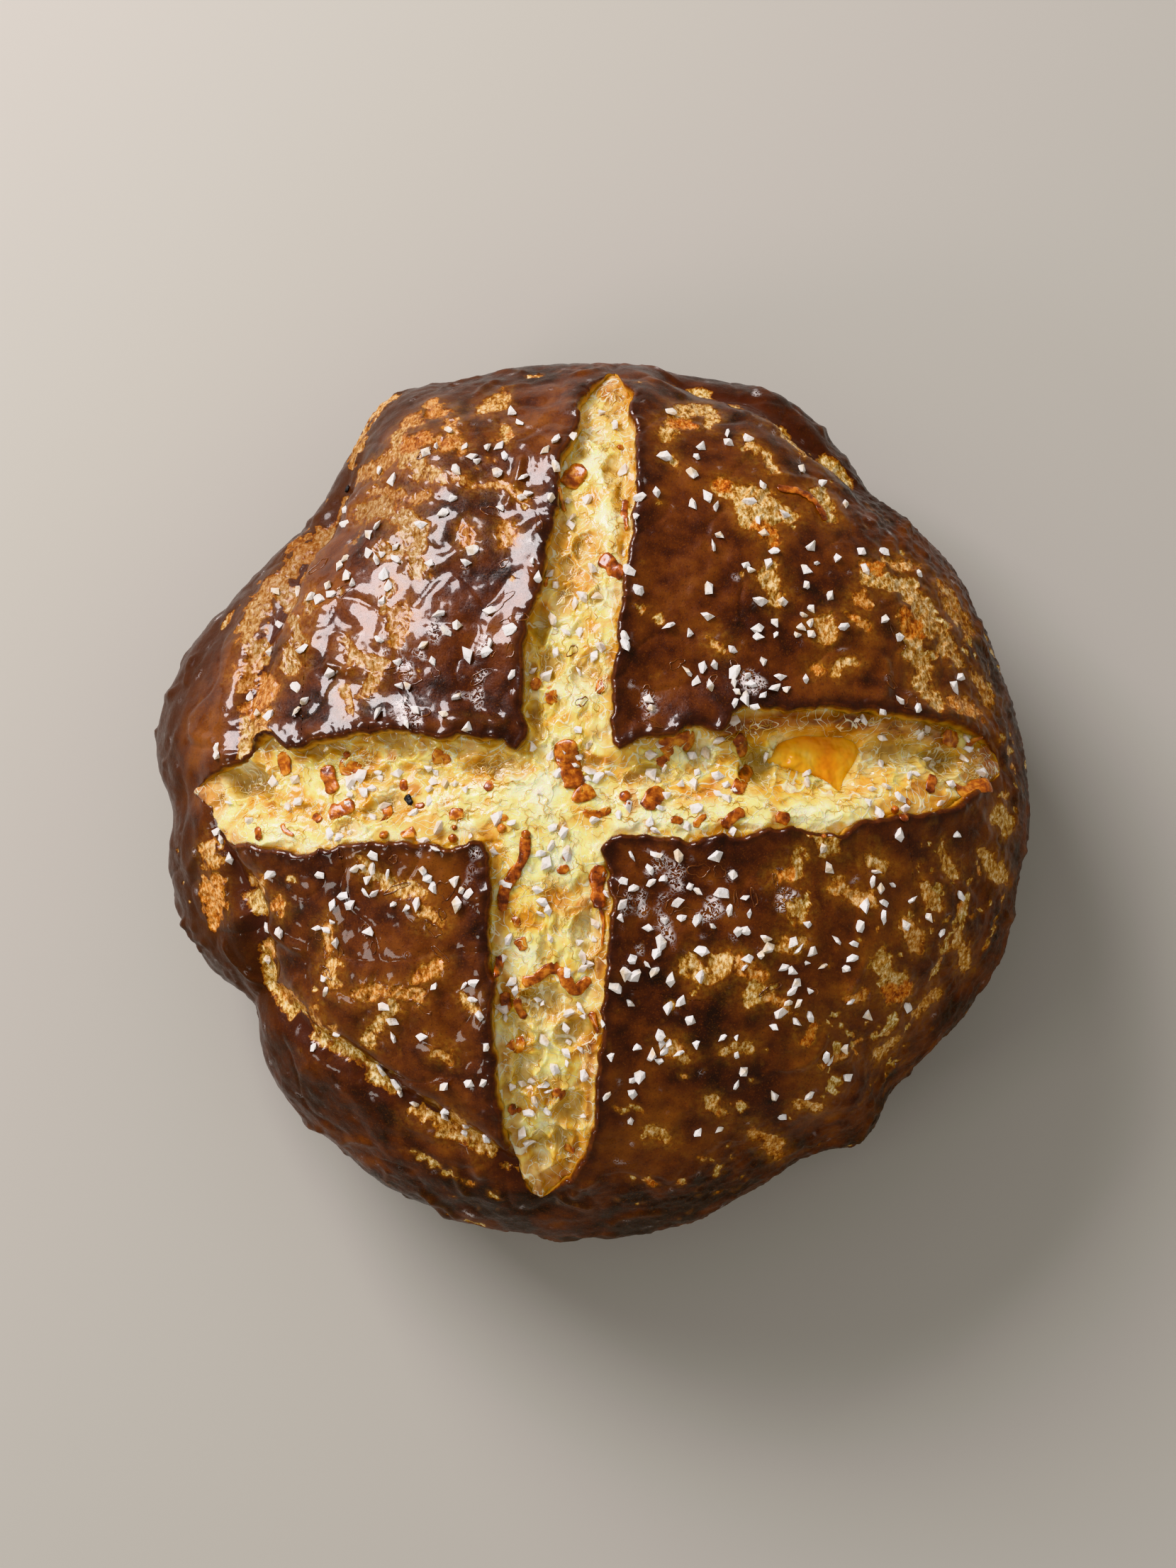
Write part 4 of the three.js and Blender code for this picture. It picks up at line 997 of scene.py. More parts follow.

# %% [markdown]
# Crumb is a foam of set dough. Its stretched films let light through, so it glows a little, and
# where the cheddar's fat wetted it the surface shines. The banks of the cut are pale cream, the
# floor is golden, gas cells are tan and translucent, and the strips beside the lips are toasted.
# Subsurface light that reaches about two millimetres gives the glow, and a thin smooth coat gives
# the wet sparkle. Painted highlights add to it: near-white curly lines and pale crests of the
# fibres. The banks' pale cream is partly painted light where they face the window, and the deepest
# gas cells and hollows get painted shade. Colour changes over eight millimetres and more, or the
# crumb looks like stone.


# %% Open crumb
def open_crumb():
    material, tree, place = new_material("open_crumb")
    swell = texture(tree, place, 8, 3, 0.5)
    fibre = texture(tree, place, 2.4, 2, 0.5)
    patch = texture(tree, place, 15, 2)
    weave = weighted(tree, 0.0, (swell, 0.75), (fibre, 0.25))
    # curly lines, painted near white as highlights and raised a little as bumps
    loops = number(tree, "MAXIMUM", curls(tree, place, 9.0, 0.008), curls(tree, place, 5.0, 0.008))
    body = ramp_of(
        tree,
        weave,
        [(0.36, "#DC941E"), (0.43, "#F8BE42"), (0.49, "#FFDC6C"), (0.56, "#FFEC98"), (0.64, "#FFFAD0")],
    )
    cream = ramp_of(
        tree, weave, [(0.36, "#FACA5C"), (0.43, "#FFE888"), (0.5, "#FFF4A8"), (0.6, "#FFFDD6")]
    )
    warm = ramp_of(tree, weave, [(0.36, "#CC7610"), (0.5, "#F2A42A"), (0.64, "#FFD468")])
    body = cover(tree, ramp_of(tree, patch, [(0.5, 0.0), (0.6, 0.6)]), body, warm)
    # the banks' pale cream is partly their own colour and partly painted light where they face the
    # window
    body = cover(tree, "cream", body, cream, 0.9)
    cell = ramp_of(
        tree, weave, [(0.36, "#AC8442"), (0.45, "#C8A256"), (0.54, "#E2C074"), (0.66, "#FCEAAC")]
    )
    body = cover(tree, "cell", body, cell)
    # painted shade in the deepest gas cells
    body = cover(tree, "deep", body, "#8A682E", 0.7)
    stain = ramp_of(tree, weave, [(0.34, "#A8540E"), (0.5, "#D07C22"), (0.7, "#EBAA50")])
    body = cover(tree, "stain", body, stain)
    toasted = ramp_of(
        tree, weave, [(0.34, "#7A3C08"), (0.45, "#A85E16"), (0.55, "#CC8A32"), (0.68, "#ECBE6C")]
    )
    body = cover(tree, "toasted", body, toasted)
    # painted highlight: the crests of the fibres are painted pale
    body = cover(tree, "crest", body, "#FFF2B0", 0.5)
    # painted highlight: the curly lines are painted near white
    body = cover(tree, loops, body, "#FFFCE0", 0.7)
    ripple = texture(tree, place, 1.2, 2, 0.5)
    relief = weighted(tree, 0.0, (ripple, 1.0), (loops, 0.5))
    roughness = ramp_of(tree, patch, [(0.4, 0.24), (0.65, 0.42)])
    surface_of(
        tree, {"Base Color": body, "Roughness": roughness, "Normal": bumps(tree, relief, 0.26)},
        IOR=1.42, Subsurface_Weight=0.6, Subsurface_Radius=(1.0, 0.7, 0.3),
        Subsurface_Scale=2.4 * MM, Coat_Weight=1.0, Coat_Roughness=0.05,
    )
    return material


crumb_material = open_crumb()

# %% [markdown]
# ## The four quarters of crust
#
# Each quarter is a square sheet that was bent over the dome. Two of its sides follow the lips of
# the cuts and then run down to the base, and the other two share the base's rim. A Coons patch
# blends four such sides into an even grid, so the grid's lines run along the lips and the edges
# stay crisp. Extra rows then roll over the lip and down the side of the cut.

# %% Quarter grids
SEAM_STEPS = 72  # rows from an arm's tip down to the base
SIDE_STEPS = LIP_STEPS + SEAM_STEPS
LIP_ROLL = 1.1  # radius of the rolled edge in mm
ROLL_TURNS = (0.35, 0.75, 1.15, 1.57)  # radians round the roll
WALL_DROPS = (3.2, 5.2, 8.0, 12.0)  # mm below the skin
CUT_MIDDLE = np.array([-8.0, -6.0])
QUARTERS = {  # name: lip on its clockwise side, lip on its other side, the arms they belong to
    "crust_back_right": ("right_top", "back_right", "right", "back"),
    "crust_back_left": ("back_left", "left_top", "back", "left"),
    "crust_front_left": ("left_bottom", "front_left", "left", "front"),
    "crust_front_right": ("front_right", "right_bottom", "front", "right"),
}
SEAM_DRIFT = {"back": 3.0, "left": 3.0, "front": 2.0, "right": -3.0}  # degrees, down the side


def seam(arm):
    """The unrolled line from an arm's tip down to the base's rim."""
    x, y = ARM_TIPS[arm]
    bearing, level = level_of(np.array([x]), np.array([y]))
    away = np.linspace(level[0] * CROWN_TO_WAIST, SKIN_LENGTH, SEAM_STEPS + 1)
    share = (away - away[0]) / (away[-1] - away[0])
    turn = np.radians(bearing[0] + SEAM_DRIFT[arm] * step(share, 0, 1))
    return np.stack([away * np.cos(turn), away * np.sin(turn)], axis=-1)


def quarter_side(lip, arm):
    """A quarter's side: its lip, drawn in by the roll, and then the seam."""
    line = lips[lip]
    ahead = unit(np.gradient(line, axis=0))
    sideways = np.stack([-ahead[:, 1], ahead[:, 0]], axis=-1)
    away_from_cut = np.sign(np.sum(sideways * (line - CUT_MIDDLE), axis=1).mean())
    calm = step(np.arange(len(line))[::-1], 0, 20)[:, None]
    inset = line + sideways * away_from_cut * LIP_ROLL * 0.8 * calm
    return np.vstack([unroll(inset[:, 0], inset[:, 1])[:-1], seam(arm)])


def rim_arc(start, end):
    """The base's rim between two bearings, on the unrolled skin."""
    turn = np.radians(np.linspace(start, end, SIDE_STEPS + 1))
    return SKIN_LENGTH * np.stack([np.cos(turn), np.sin(turn)], axis=-1)


def coons(side_a, side_b):
    """A grid between two sides that start at one corner and end on the base's rim."""
    start_a, start_b = (np.degrees(np.arctan2(s[-1, 1], s[-1, 0])) % 360 for s in (side_a, side_b))
    if start_b < start_a:
        start_b += 360
    middle = (start_a + start_b) / 2
    far_a = rim_arc(start_a, middle)
    far_b = rim_arc(start_b, middle)
    corner = (side_a[0] + side_b[0]) / 2
    fade = step(np.arange(SIDE_STEPS + 1), 0, 6)[:, None]
    side_a = mix(side_a + corner - side_a[0], side_a, fade)
    side_b = mix(side_b + corner - side_b[0], side_b, fade)
    u = np.linspace(0, 1, SIDE_STEPS + 1)[:, None, None]
    v = np.linspace(0, 1, SIDE_STEPS + 1)[None, :, None]
    along = (1 - v) * side_a[:, None] + v * far_b[:, None]
    across = (1 - u) * side_b[None] + u * far_a[None]
    near = (1 - u) * (1 - v) * corner + u * (1 - v) * side_a[-1]
    far = (1 - u) * v * side_b[-1] + u * v * far_a[-1]
    return along + across - near - far


# %% Rows that roll over the lip
def lip_rows(skin, loop, up):
    """Points below the lip, row by row, and how far down the cut each of them is."""
    edge = skin[loop]
    travel = unit(np.gradient(edge, axis=0))
    for _ in range(3):
        travel[1:-1] = unit(travel[:-2] + travel[1:-1] + travel[2:])
    outward = unit(np.cross(travel, up))
    count = np.arange(len(loop))
    fade = np.minimum(step(count, 0, 24), step(count[::-1], 0, 24))[:, None]
    crinkle = 0.5 * rough(edge, 2.4, 2, 201)
    rows, walls = [], []
    for turn in ROLL_TURNS:
        out, drop = LIP_ROLL * math.sin(turn), LIP_ROLL * (1 - math.cos(turn))
        rows.append(edge + (outward * out - up * drop) * fade)
        walls.append(np.full(len(loop), 0.05 * turn))
    for drop in WALL_DROPS:
        out = LIP_ROLL + (crinkle - 0.05 * drop) * step(drop, 1.0, 4.0)
        rows.append(edge + (outward * out[:, None] - up * drop) * fade)
        walls.append(np.full(len(loop), min(drop / 9.0, 1.0)) + 0.06 * crinkle)
    return rows, walls


# %% Build the quarters
def build_quarter(name):
    lip_a, lip_b, arm_a, arm_b = QUARTERS[name]
    size = SIDE_STEPS + 1
    flat = coons(quarter_side(lip_a, arm_a), quarter_side(lip_b, arm_b))
    bearing, level = roll_up(flat.reshape(-1, 2))
    skin, masks = on_crust(bearing, level)
    index = np.arange(size * size).reshape(size, size)
    loop = np.concatenate([index[0, LIP_STEPS:0:-1], index[: LIP_STEPS + 1, 0]])
    rows, walls = lip_rows(skin, loop, dome_normal(bearing[loop], level[loop]))
    bands = [loop]
    for row in range(len(rows)):
        band = size * size + row * len(loop) + np.arange(len(loop))
        band[0], band[-1] = loop[0], loop[-1]
        bands.append(band)
    points = np.vstack([skin] + rows)
    faces = np.vstack([grid_quads(index), grid_quads(np.stack(bands))])
    x, y, _ = dome_point(bearing, level).T
    edge = 0.8 * bell(np.maximum(lip_distance(x, y) - 0.6 - 0.5 * noise(skin, 5.0, 211), 0) / 1.7)
    masks["edge"] = edge * (1 - tip_closeness(x, y)) * step(1.05 - level, 0, 0.05)
    masks["wall"] = np.zeros(len(skin))
    wall_values = np.concatenate(walls)
    for key in masks:
        extra = wall_values if key == "wall" else np.zeros(len(wall_values))
        masks[key] = np.concatenate([masks[key], extra])
    seams = {arm_a: index[LIP_STEPS:, 0], arm_b: index[0, LIP_STEPS:]}
    normals = point_normals(points, faces)
    return {"points": points, "faces": faces, "masks": masks, "seams": seams, "normals": normals}


quarters = {name: build_quarter(name) for name in QUARTERS}
for arm in ARM_TIPS:
    first, second = [quarter for quarter in quarters.values() if arm in quarter["seams"]]
    shared = first["normals"][first["seams"][arm]] + second["normals"][second["seams"][arm]]
    first["normals"][first["seams"][arm]] = shared
    second["normals"][second["seams"][arm]] = shared

HEART = np.array([0.0, 0.0, 0.0])  # the middle of the base, where the hidden faces meet
DOWN = [[0.0, 0.0, -1.0]]
crust_pieces = []
for name, quarter in quarters.items():
    points, faces, shown = close_sheet(quarter["points"], quarter["faces"], HEART)
    normals = np.vstack([quarter["normals"], DOWN])
    masks = quarter["masks"]
    crust_pieces.append(mesh_piece(name, points, faces, [crust_material], masks, normals, shown))

# %% [markdown]
# ## The opened crumb
#
# Where the cut opened, the inside of the dough rose into the gap and baked there. Its depth under
# the dome is drawn across each arm from lip to lip: deep and shaded where the lip lifted, nearly
# level with the crust on the other bank. Gas cells burst into it, and stretched dough left fibres
# that run mostly along the cut.

# %% Depth of the crumb
ARMS = {  # axis across, direction, first and second lip, depths from the first to the second
    "back": (0, (0.0, 1.0), "back_left", "back_right", (2.6, 4.6, 4.2, 3.2, 2.6, 3.4, 2.2)),
    "front": (0, (0.0, -1.0), "front_left", "front_right", (1.8, 4.0, 3.2, 4.0, 3.4, 4.6, 1.8)),
    "left": (1, (-1.0, 0.0), "left_top", "left_bottom", (3.0, 5.6, 6.0, 4.8, 3.6, 2.0, 0.8)),
    "right": (1, (1.0, 0.0), "right_top", "right_bottom", (2.2, 6.0, 6.6, 5.2, 3.4, 1.8, 0.8)),
}
MIDDLE = (-10.0, -9.0)
MIDDLE_SPREAD = 14.0
MIDDLE_DEPTH = 1.5
CRUMB_SHARE = 0.62  # how much of its depth the baked crumb kept
ARM_BLEND = 3.0
TIP_RUN = 16.0
TIP_DEPTH = 0.4
GAS_CELLS = [  # x, y, half length, half width, bearing, depth
    (-12.5, 34.5, 6.0, 2.8, 85, 1.7), (-6.5, 41, 4.2, 2.6, 60, 1.2), (1.5, 42, 2.6, 1.8, 90, 0.8),
    (-9.8, 25, 4.6, 3.6, 90, 1.3), (-0.8, 24, 5.0, 3.0, 80, 1.2), (-13.4, 12.5, 5.0, 2.6, 95, 1.1),
    (-6.3, 48.5, 3.2, 2.4, 60, 1.0), (1.3, 84, 3.4, 2.8, 70, 0.9), (4.6, 73.5, 4.4, 2.4, 85, 1.0),
    (4.2, 92.5, 3.4, 2.6, 90, 0.7), (-2.0, 54, 4.0, 2.6, 80, 1.0), (-10.5, -53, 6.6, 4.6, 175, 1.7),
    (-16.4, -59, 3.6, 3.0, 90, 1.4), (-4.6, -60, 4.6, 3.8, 80, 1.5), (-1.0, -37, 5.6, 2.8, 75, 1.2),
    (-15.4, -69.5, 4.6, 3.0, 90, 1.6), (-5.4, -78, 4.6, 3.4, 70, 1.4), (-13.0, -87, 4.6, 3.0, 100, 1.5),
    (-8.4, -86, 3.4, 2.4, 90, 1.0), (-82.5, -0.6, 6.6, 3.8, 165, 3.0), (-62, 6.2, 8.0, 2.0, 0, 1.2),
    (-46, 8, 5.0, 1.9, 175, 1.2), (-51, 0, 3.6, 2.0, 0, 1.0), (-56, -12, 4.0, 2.2, 10, 1.0),
    (-48.6, -7.6, 4.4, 3.2, 15, 1.6), (-22, 1.4, 8.0, 2.6, 175, 1.4), (-2.6, 2.2, 5.0, 2.8, 160, 1.2),
    (13, -0.2, 6.0, 2.2, 8, 1.1), (24.6, 6, 4.0, 2.6, 90, 1.0), (38.5, 2.5, 4.2, 6.0, 10, 2.0),
    (73, 6.5, 8.0, 4.0, 5, 1.4), (84, 5, 5.0, 4.2, 140, 2.0),
]
CAVITY = (53, 3.5, 17, 9, 4, 4.0)  # the hollow around the pool, as a gas cell
SMALL_CELLS = (  # size in mm, seed, depth, share of the places that have one, tint
    (5.6, 3, 0.8, 0.6, 0.5),
    (3.2, 17, 0.3, 0.45, 0.3),
)
CRUMB_TUCK = 4.5  # mm that the crumb dives down where it passes under the crust
# the pale cream of these banks is partly painted light, where they face the window
BANK = [  # strokes along the pale raised bank: points and half width
    ([(-84, -12.5), (-66, -13.5), (-44, -12.6), (-28, -10.5)], 2.6),
    ([(-34, -8), (-22, -6.5), (-13, -5.5), (-6, -8.5), (2, -8.6), (10, -7)], 4.6),
    ([(4, -9.5), (22, -10), (36, -9), (50, -9.8), (62, -8)], 2.8),
    ([(-17, -12), (-8, -13), (0, -13)], 5.0),
    ([(-14, -20), (-6, -21), (-2, -19)], 5.0),
    ([(1.6, 12), (2, 30), (3.5, 46), (4, 66), (-1, 76), (2, 88)], 1.8),
    ([(-88, -10), (-86, -5)], 1.6),
]
POOL_OUTLINE = [  # the melted pool, anticlockwise from its left end
    (41.6, 4.4), (43.2, 2.2), (47, 1.3), (52, 0.2), (55.8, -1.8), (58.4, -4.6), (61, -4.8),
    (62, -1.2), (64, 2.6), (65.8, 6.6), (64.8, 10.8), (60, 12.6), (54, 12.6), (48, 11.6), (43.6, 8.4),
]
POOL_FLOOR_DEPTH = 11.5
LEDGE = [(28.5, 8.4), (33, 11), (42, 12.4), (54, 12.9), (66, 12.6), (76, 11.8), (84, 11)]
LEDGE_DEPTH = 1.6
LEDGE_SPREAD = 1.9
LEDGE_START = (26, 32)  # x between which the toasted ledge under the far lip begins


def ellipse_reach(x, y, cell):
    """0 in the middle of a slanted ellipse, 1 on its edge."""
    middle_x, middle_y, half_length, half_width, bearing, _ = cell
    c, s = math.cos(math.radians(bearing)), math.sin(math.radians(bearing))
    along = ((x - middle_x) * c + (y - middle_y) * s) / half_length
    across = ((y - middle_y) * c - (x - middle_x) * s) / half_width
    return np.hypot(along, across)


def pool_distance(x, y):
    """How far a point lies outside the pool, worked out only where the pool is near."""
    away = np.full(len(x), 99.0)
    near = (np.abs(x - 53) < 18) & (np.abs(y - 4) < 15)
    away[near] = outline_distance(x[near], y[near], np.array(POOL_OUTLINE))
    return away


def arm_weights(x, y):
    """How much each arm's floor counts at a point, blended where the arms meet."""
    runs = np.stack([(x - MIDDLE[0]) * d[0] + (y - MIDDLE[1]) * d[1] for _, d, _, _, _ in ARMS.values()])
    weights = np.exp((runs - runs.max(axis=0)) / ARM_BLEND)
    return weights / weights.sum(axis=0)


def lip_at(lip, direction, axis, run):
    """Where a lip lies across its arm, at a run along it."""
    line = lips[lip]
    along = line @ np.array(direction)
    order = np.argsort(along)
    return np.interp(run, along[order], line[order, axis])


def crumb_depth(x, y):
    """Smooth depth of the crumb under the dome, before its fine texture."""
    depth = np.zeros(len(x))
    for weight, (axis, direction, first, second, depths) in zip(arm_weights(x, y), ARMS.values()):
        run = x * direction[0] + y * direction[1]
        offset = y if axis else x
        start = lip_at(first, direction, axis, run)
        gap = lip_at(second, direction, axis, run) - start
        gap = np.where(np.abs(gap) < 0.5, 0.5 * np.sign(gap + 1e-9), gap)
        floor = np.interp((offset - start) / gap, np.linspace(0, 1, len(depths)), depths)
        depth += weight * floor * CRUMB_SHARE
    bridge = bell(np.hypot(x - MIDDLE[0], y - MIDDLE[1]) / MIDDLE_SPREAD)
    depth = mix(depth, MIDDLE_DEPTH, bridge)
    depth += CAVITY[5] * bell(ellipse_reach(x, y, CAVITY) ** 2)
    depth = mix(depth, POOL_FLOOR_DEPTH, step(-pool_distance(x, y), 0.2, 2.4))
    on_ledge = np.sqrt(bell(stroke_distance(x, y, LEDGE) / LEDGE_SPREAD)) * step(x, *LEDGE_START)
    depth = mix(depth, LEDGE_DEPTH, on_ledge)
    tip = np.zeros(len(x))
    for tip_x, tip_y in ARM_TIPS.values():
        tip = np.maximum(tip, step(TIP_RUN - np.hypot(x - tip_x, y - tip_y), 0, TIP_RUN))
    return mix(depth, TIP_DEPTH, tip)


# %% Texture of the crumb
def crumb_relief(x, y):
    """Height of the crumb's surface over the plan, with the masks that its colours need."""
    bearing, level = level_of(x, y)
    base = dome_point(bearing, level)
    lip = lip_distance(x, y)
    spots = on_plan(x, y)
    warp = spots.copy()
    warp[:, 0] += 1.6 * rough(spots, 6.0, 3, 301)
    warp[:, 1] += 1.6 * rough(spots, 6.0, 3, 303)
    weights = arm_weights(x, y)
    sideways = (weights[2] + weights[3])[:, None]
    grain = warp * mix(np.array([[1.2, 0.55, 1.0]]), np.array([[0.55, 1.2, 1.0]]), sideways)

    bank = np.zeros(len(x))
    for points, width in BANK:
        bank = np.maximum(bank, step(width - stroke_distance(warp[:, 0], warp[:, 1], points), -2.0, 1.2))
    depth = crumb_depth(x, y) - 0.9 * bank
    cell, deep_cell_painted_shade = np.zeros((2, len(x)))
    for pit in GAS_CELLS:
        reach = ellipse_reach(warp[:, 0], warp[:, 1], pit)
        inside = np.sqrt(step(1.1 - reach, 0, 0.8))
        cell = np.maximum(cell, inside)
        deep_cell_painted_shade = np.maximum(deep_cell_painted_shade, inside * step(pit[5], 1.2, 2.6))
        depth += 1.15 * pit[5] * inside - 0.4 * bell((reach - 1.14) / 0.12)
    for size, seed, deep, share, tint in SMALL_CELLS:
        near, chance = bubbles(grain[:, :2] / size, seed)
        reach = near / (0.28 + 0.22 * chance)
        inside = np.sqrt(step(1.0 - reach, 0, 0.8)) * (chance < share) * (1 - 0.85 * bank)
        rim = bell((reach - 1.1) / 0.2) * (chance < share)
        depth += deep * inside * (1 - 0.5 * cell) - 0.2 * deep * rim
        cell = np.maximum(cell, inside * step(chance, 0.0, 0.3) * tint)
    fibre = ridges(grain, 2.1, 311) * 0.5 + ridges(grain, 1.05, 313) * 0.4
    crest = ridges(grain, 5.2, 317) ** 3
    calm = 1 - 0.7 * np.maximum(bank, cell)
    depth -= 0.07 * fibre * calm + 0.35 * crest * (1 - cell)
    depth -= 0.25 * rough(spots, 4.4, 2, 319) + 0.5 * bank * rough(spots, 8.0, 2, 321)
    depth += CRUMB_TUCK * step(lip, -0.2, 2.6)

    ledge = bell(stroke_distance(x, y, LEDGE) / 2.6) * step(x, *LEDGE_START)
    strips = bell((lip + 1.6) / 1.7) * step(rough(spots, 7.0, 2, 341), -0.7, 0.2)
    strips *= np.where(y < -22, 0.85, np.where(y > 12, 0.55, 0.3))
    toasted = np.maximum(np.minimum(1.3 * ledge, 1.0), strips) * (1 - 0.7 * bank)
    toasted = np.maximum(toasted, 0.6 * step(lip, -0.9, 0.2))
    toasted = np.maximum(toasted, step(tip_closeness(x, y) + 0.25 * noise(spots, 4.0, 345), 0.4, 0.8))
    stain = step(rough(spots, 6.5, 2, 331), 0.5, 0.85) * 0.8
    # painted highlight along the crests and fibres of the crumb
    fibre_crest_painted_highlight = np.clip(crest * 0.7 + 0.55 * fibre - 0.2, 0, 1)
    masks = {
        # painted shade: crumb that lies 7 to 11 mm deep takes the cells' darker tan, and the deepest
        # cells are darkened
        "cell": np.clip(cell * 0.9 + 0.35 * step(depth, 7, 11), 0, 1) * (1 - 0.6 * crest),
        "deep": deep_cell_painted_shade,
        "stain": stain * (1 - 0.6 * cell),
        "crest": fibre_crest_painted_highlight * (1 - 0.4 * cell) * (0.55 + 0.45 * bank),
        "cream": np.clip(bank + 0.25 * noise(spots, 5.0, 343), 0, 1),
        "toasted": np.clip(toasted, 0, 1),
    }
    return base, -depth, masks


def on_crumb(x, y):
    base, height, masks = crumb_relief(x, y)
    return base + dome_normal(*level_of(x, y)) * height[:, None], masks


# %% Build the crumb
CRUMB_STEP = 0.36  # mm between grid points
CRUMB_MARGIN = 2.8  # how far it reaches under the crust
CRUMB_HEART = (-8.0, -6.0, 20.0)
CRUMB_SPAN = (-104, 106)
grid_axis = np.arange(*CRUMB_SPAN, CRUMB_STEP)
grid_x, grid_y = np.meshgrid(grid_axis, grid_axis, indexing="ij")
wanted = lip_distance(grid_x.ravel(), grid_y.ravel()).reshape(grid_x.shape) < CRUMB_MARGIN
row, column = np.nonzero(wanted[:-1, :-1] & wanted[1:, :-1] & wanted[1:, 1:] & wanted[:-1, 1:])
across = len(grid_axis)
corner = row * across + column
quads = np.stack([corner, corner + across, corner + across + 1, corner + 1], -1)
used, quads = np.unique(quads, return_inverse=True)
surface, crumb_masks = on_crumb(grid_x.ravel()[used], grid_y.ravel()[used])
faces = quads_to_triangles(quads.reshape(-1, 4))
crumb_normals = np.vstack([point_normals(surface, faces), DOWN])
points, faces, shown = close_sheet(surface, faces, CRUMB_HEART)
crumb = mesh_piece("crumb", points, faces, [crumb_material], crumb_masks, crumb_normals, shown)


# %% The surface anywhere on the loaf
def top_surface(x, y):
    """Points on the crust or the crumb above places of the plan, and whether they are crumb."""
    x, y = np.atleast_1d(np.asarray(x, float)), np.atleast_1d(np.asarray(y, float))
    crust_points, _ = on_crust(*level_of(x, y))
    crumb_points, _ = on_crumb(x, y)
    opened = lip_distance(x, y) < -0.4
    return np.where(opened[:, None], crumb_points, crust_points), opened


def top_normal(x, y, reach=0.8):
    """Normals of that surface, taken over a small reach."""
    east, _ = top_surface(x + reach, y)
    west, _ = top_surface(x - reach, y)
    north, _ = top_surface(x, y + reach)
    south, _ = top_surface(x, y - reach)
    return unit(np.cross(east - west, north - south))


print("surface at the crown:", np.round(top_surface(0, 0)[0], 1))

# %% [markdown]
# ## Geometry Nodes for strands and grains
#
# Fibres of gluten and grains of salt repeat hundreds of times, and threads of dried glaze dozens
# of times. The lines they follow are worked out on the loaf's surface, and a small node tree gives
# them their thickness or their shape. Each tree has named sizes, and its result is kept as a plain
# mesh.


# %% Node tree helpers
def new_geometry_tree(name, sizes):
    """A tree with a geometry in and out and a number input for each named size."""
    tree = bpy.data.node_groups.new(name, "GeometryNodeTree")
    tree.interface.new_socket("Geometry", in_out="INPUT", socket_type="NodeSocketGeometry")
    for label in sizes:
        tree.interface.new_socket(label, in_out="INPUT", socket_type="NodeSocketFloat")
    tree.interface.new_socket("Geometry", in_out="OUTPUT", socket_type="NodeSocketGeometry")
    return tree, tree.nodes.new("NodeGroupInput"), tree.nodes.new("NodeGroupOutput")


def bake_tree(piece, tree, sizes):
    """Runs the tree on the piece with these sizes and keeps the result as its mesh."""
    modifier = piece.modifiers.new(tree.name, "NODES")
    modifier.node_group = tree
    for item in tree.interface.items_tree:
        if item.in_out == "INPUT" and item.name in sizes:
            modifier[item.identifier] = sizes[item.name]
    bpy.context.view_layer.update()
    ready = piece.evaluated_get(bpy.context.evaluated_depsgraph_get())
    mesh = bpy.data.meshes.new_from_object(ready)
    piece.modifiers.remove(modifier)
    piece.data = mesh
    print(f"{piece.name}: {sum(len(p.vertices) - 2 for p in mesh.polygons)} triangles")


def named(tree, kind, label):
    return add(tree, "GeometryNodeInputNamedAttribute", data_type=kind, Name=label).outputs["Attribute"]


def strand_tree(material):
    """Edges become round strands, as thick as their own girth says."""
    tree, start, end = new_geometry_tree("round_strands", ["Thickness", "Sides"])
    lines = add(tree, "GeometryNodeMeshToCurve", {"Mesh": start.outputs["Geometry"]})
    ring_size = {"Resolution": start.outputs["Sides"], "Radius": start.outputs["Thickness"]}
    ring = add(tree, "GeometryNodeCurvePrimitiveCircle", ring_size)
    both = {
        "Curve": lines.outputs[0],
        "Profile Curve": ring.outputs[0],
        "Scale": named(tree, "FLOAT", "girth"),
    }
    tube = add(tree, "GeometryNodeCurveToMesh", both, Fill_Caps=True)
    real = add(tree, "GeometryNodeRealizeInstances", {"Geometry": tube.outputs[0]})
    soft = add(tree, "GeometryNodeSetShadeSmooth", {"Geometry": real.outputs[0]})
    done = add(tree, "GeometryNodeSetMaterial", {"Geometry": soft.outputs[0]}, Material=material)
    tree.links.new(done.outputs[0], end.inputs[0])
    return tree


def strand_piece(name, paths, girths, closed, material, sides):
    """A piece of many strands along paths in mm, with a radius in mm at every point."""
    mesh = bpy.data.meshes.new(name)
    edges, start = [], 0
    for path in paths:
        numbers = np.arange(start, start + len(path))
        edges.append(np.stack([numbers[:-1], numbers[1:]], -1))
        if closed:
            edges.append(np.array([[numbers[-1], numbers[0]]]))
        start += len(path)
    mesh.from_pydata(((np.vstack(paths) + PLAN_SHIFT) * MM).tolist(), np.vstack(edges).tolist(), [])
    girth = mesh.attributes.new("girth", "FLOAT", "POINT")
    girth.data.foreach_set("value", np.concatenate(girths).astype(np.float32))
    piece = bpy.data.objects.new(name, mesh)
    bpy.context.scene.collection.objects.link(piece)
    bake_tree(piece, strand_tree(material), {"Thickness": MM, "Sides": float(sides)})
    return piece


# %% [markdown]
# Gluten pulls into fine strands when a cut tears open. Each strand starts at a random place in the
# cross, runs mostly along its arm with a wandering bend, and follows the crumb, lifting off it a
# little over the pits. They are thin, pale and wet.


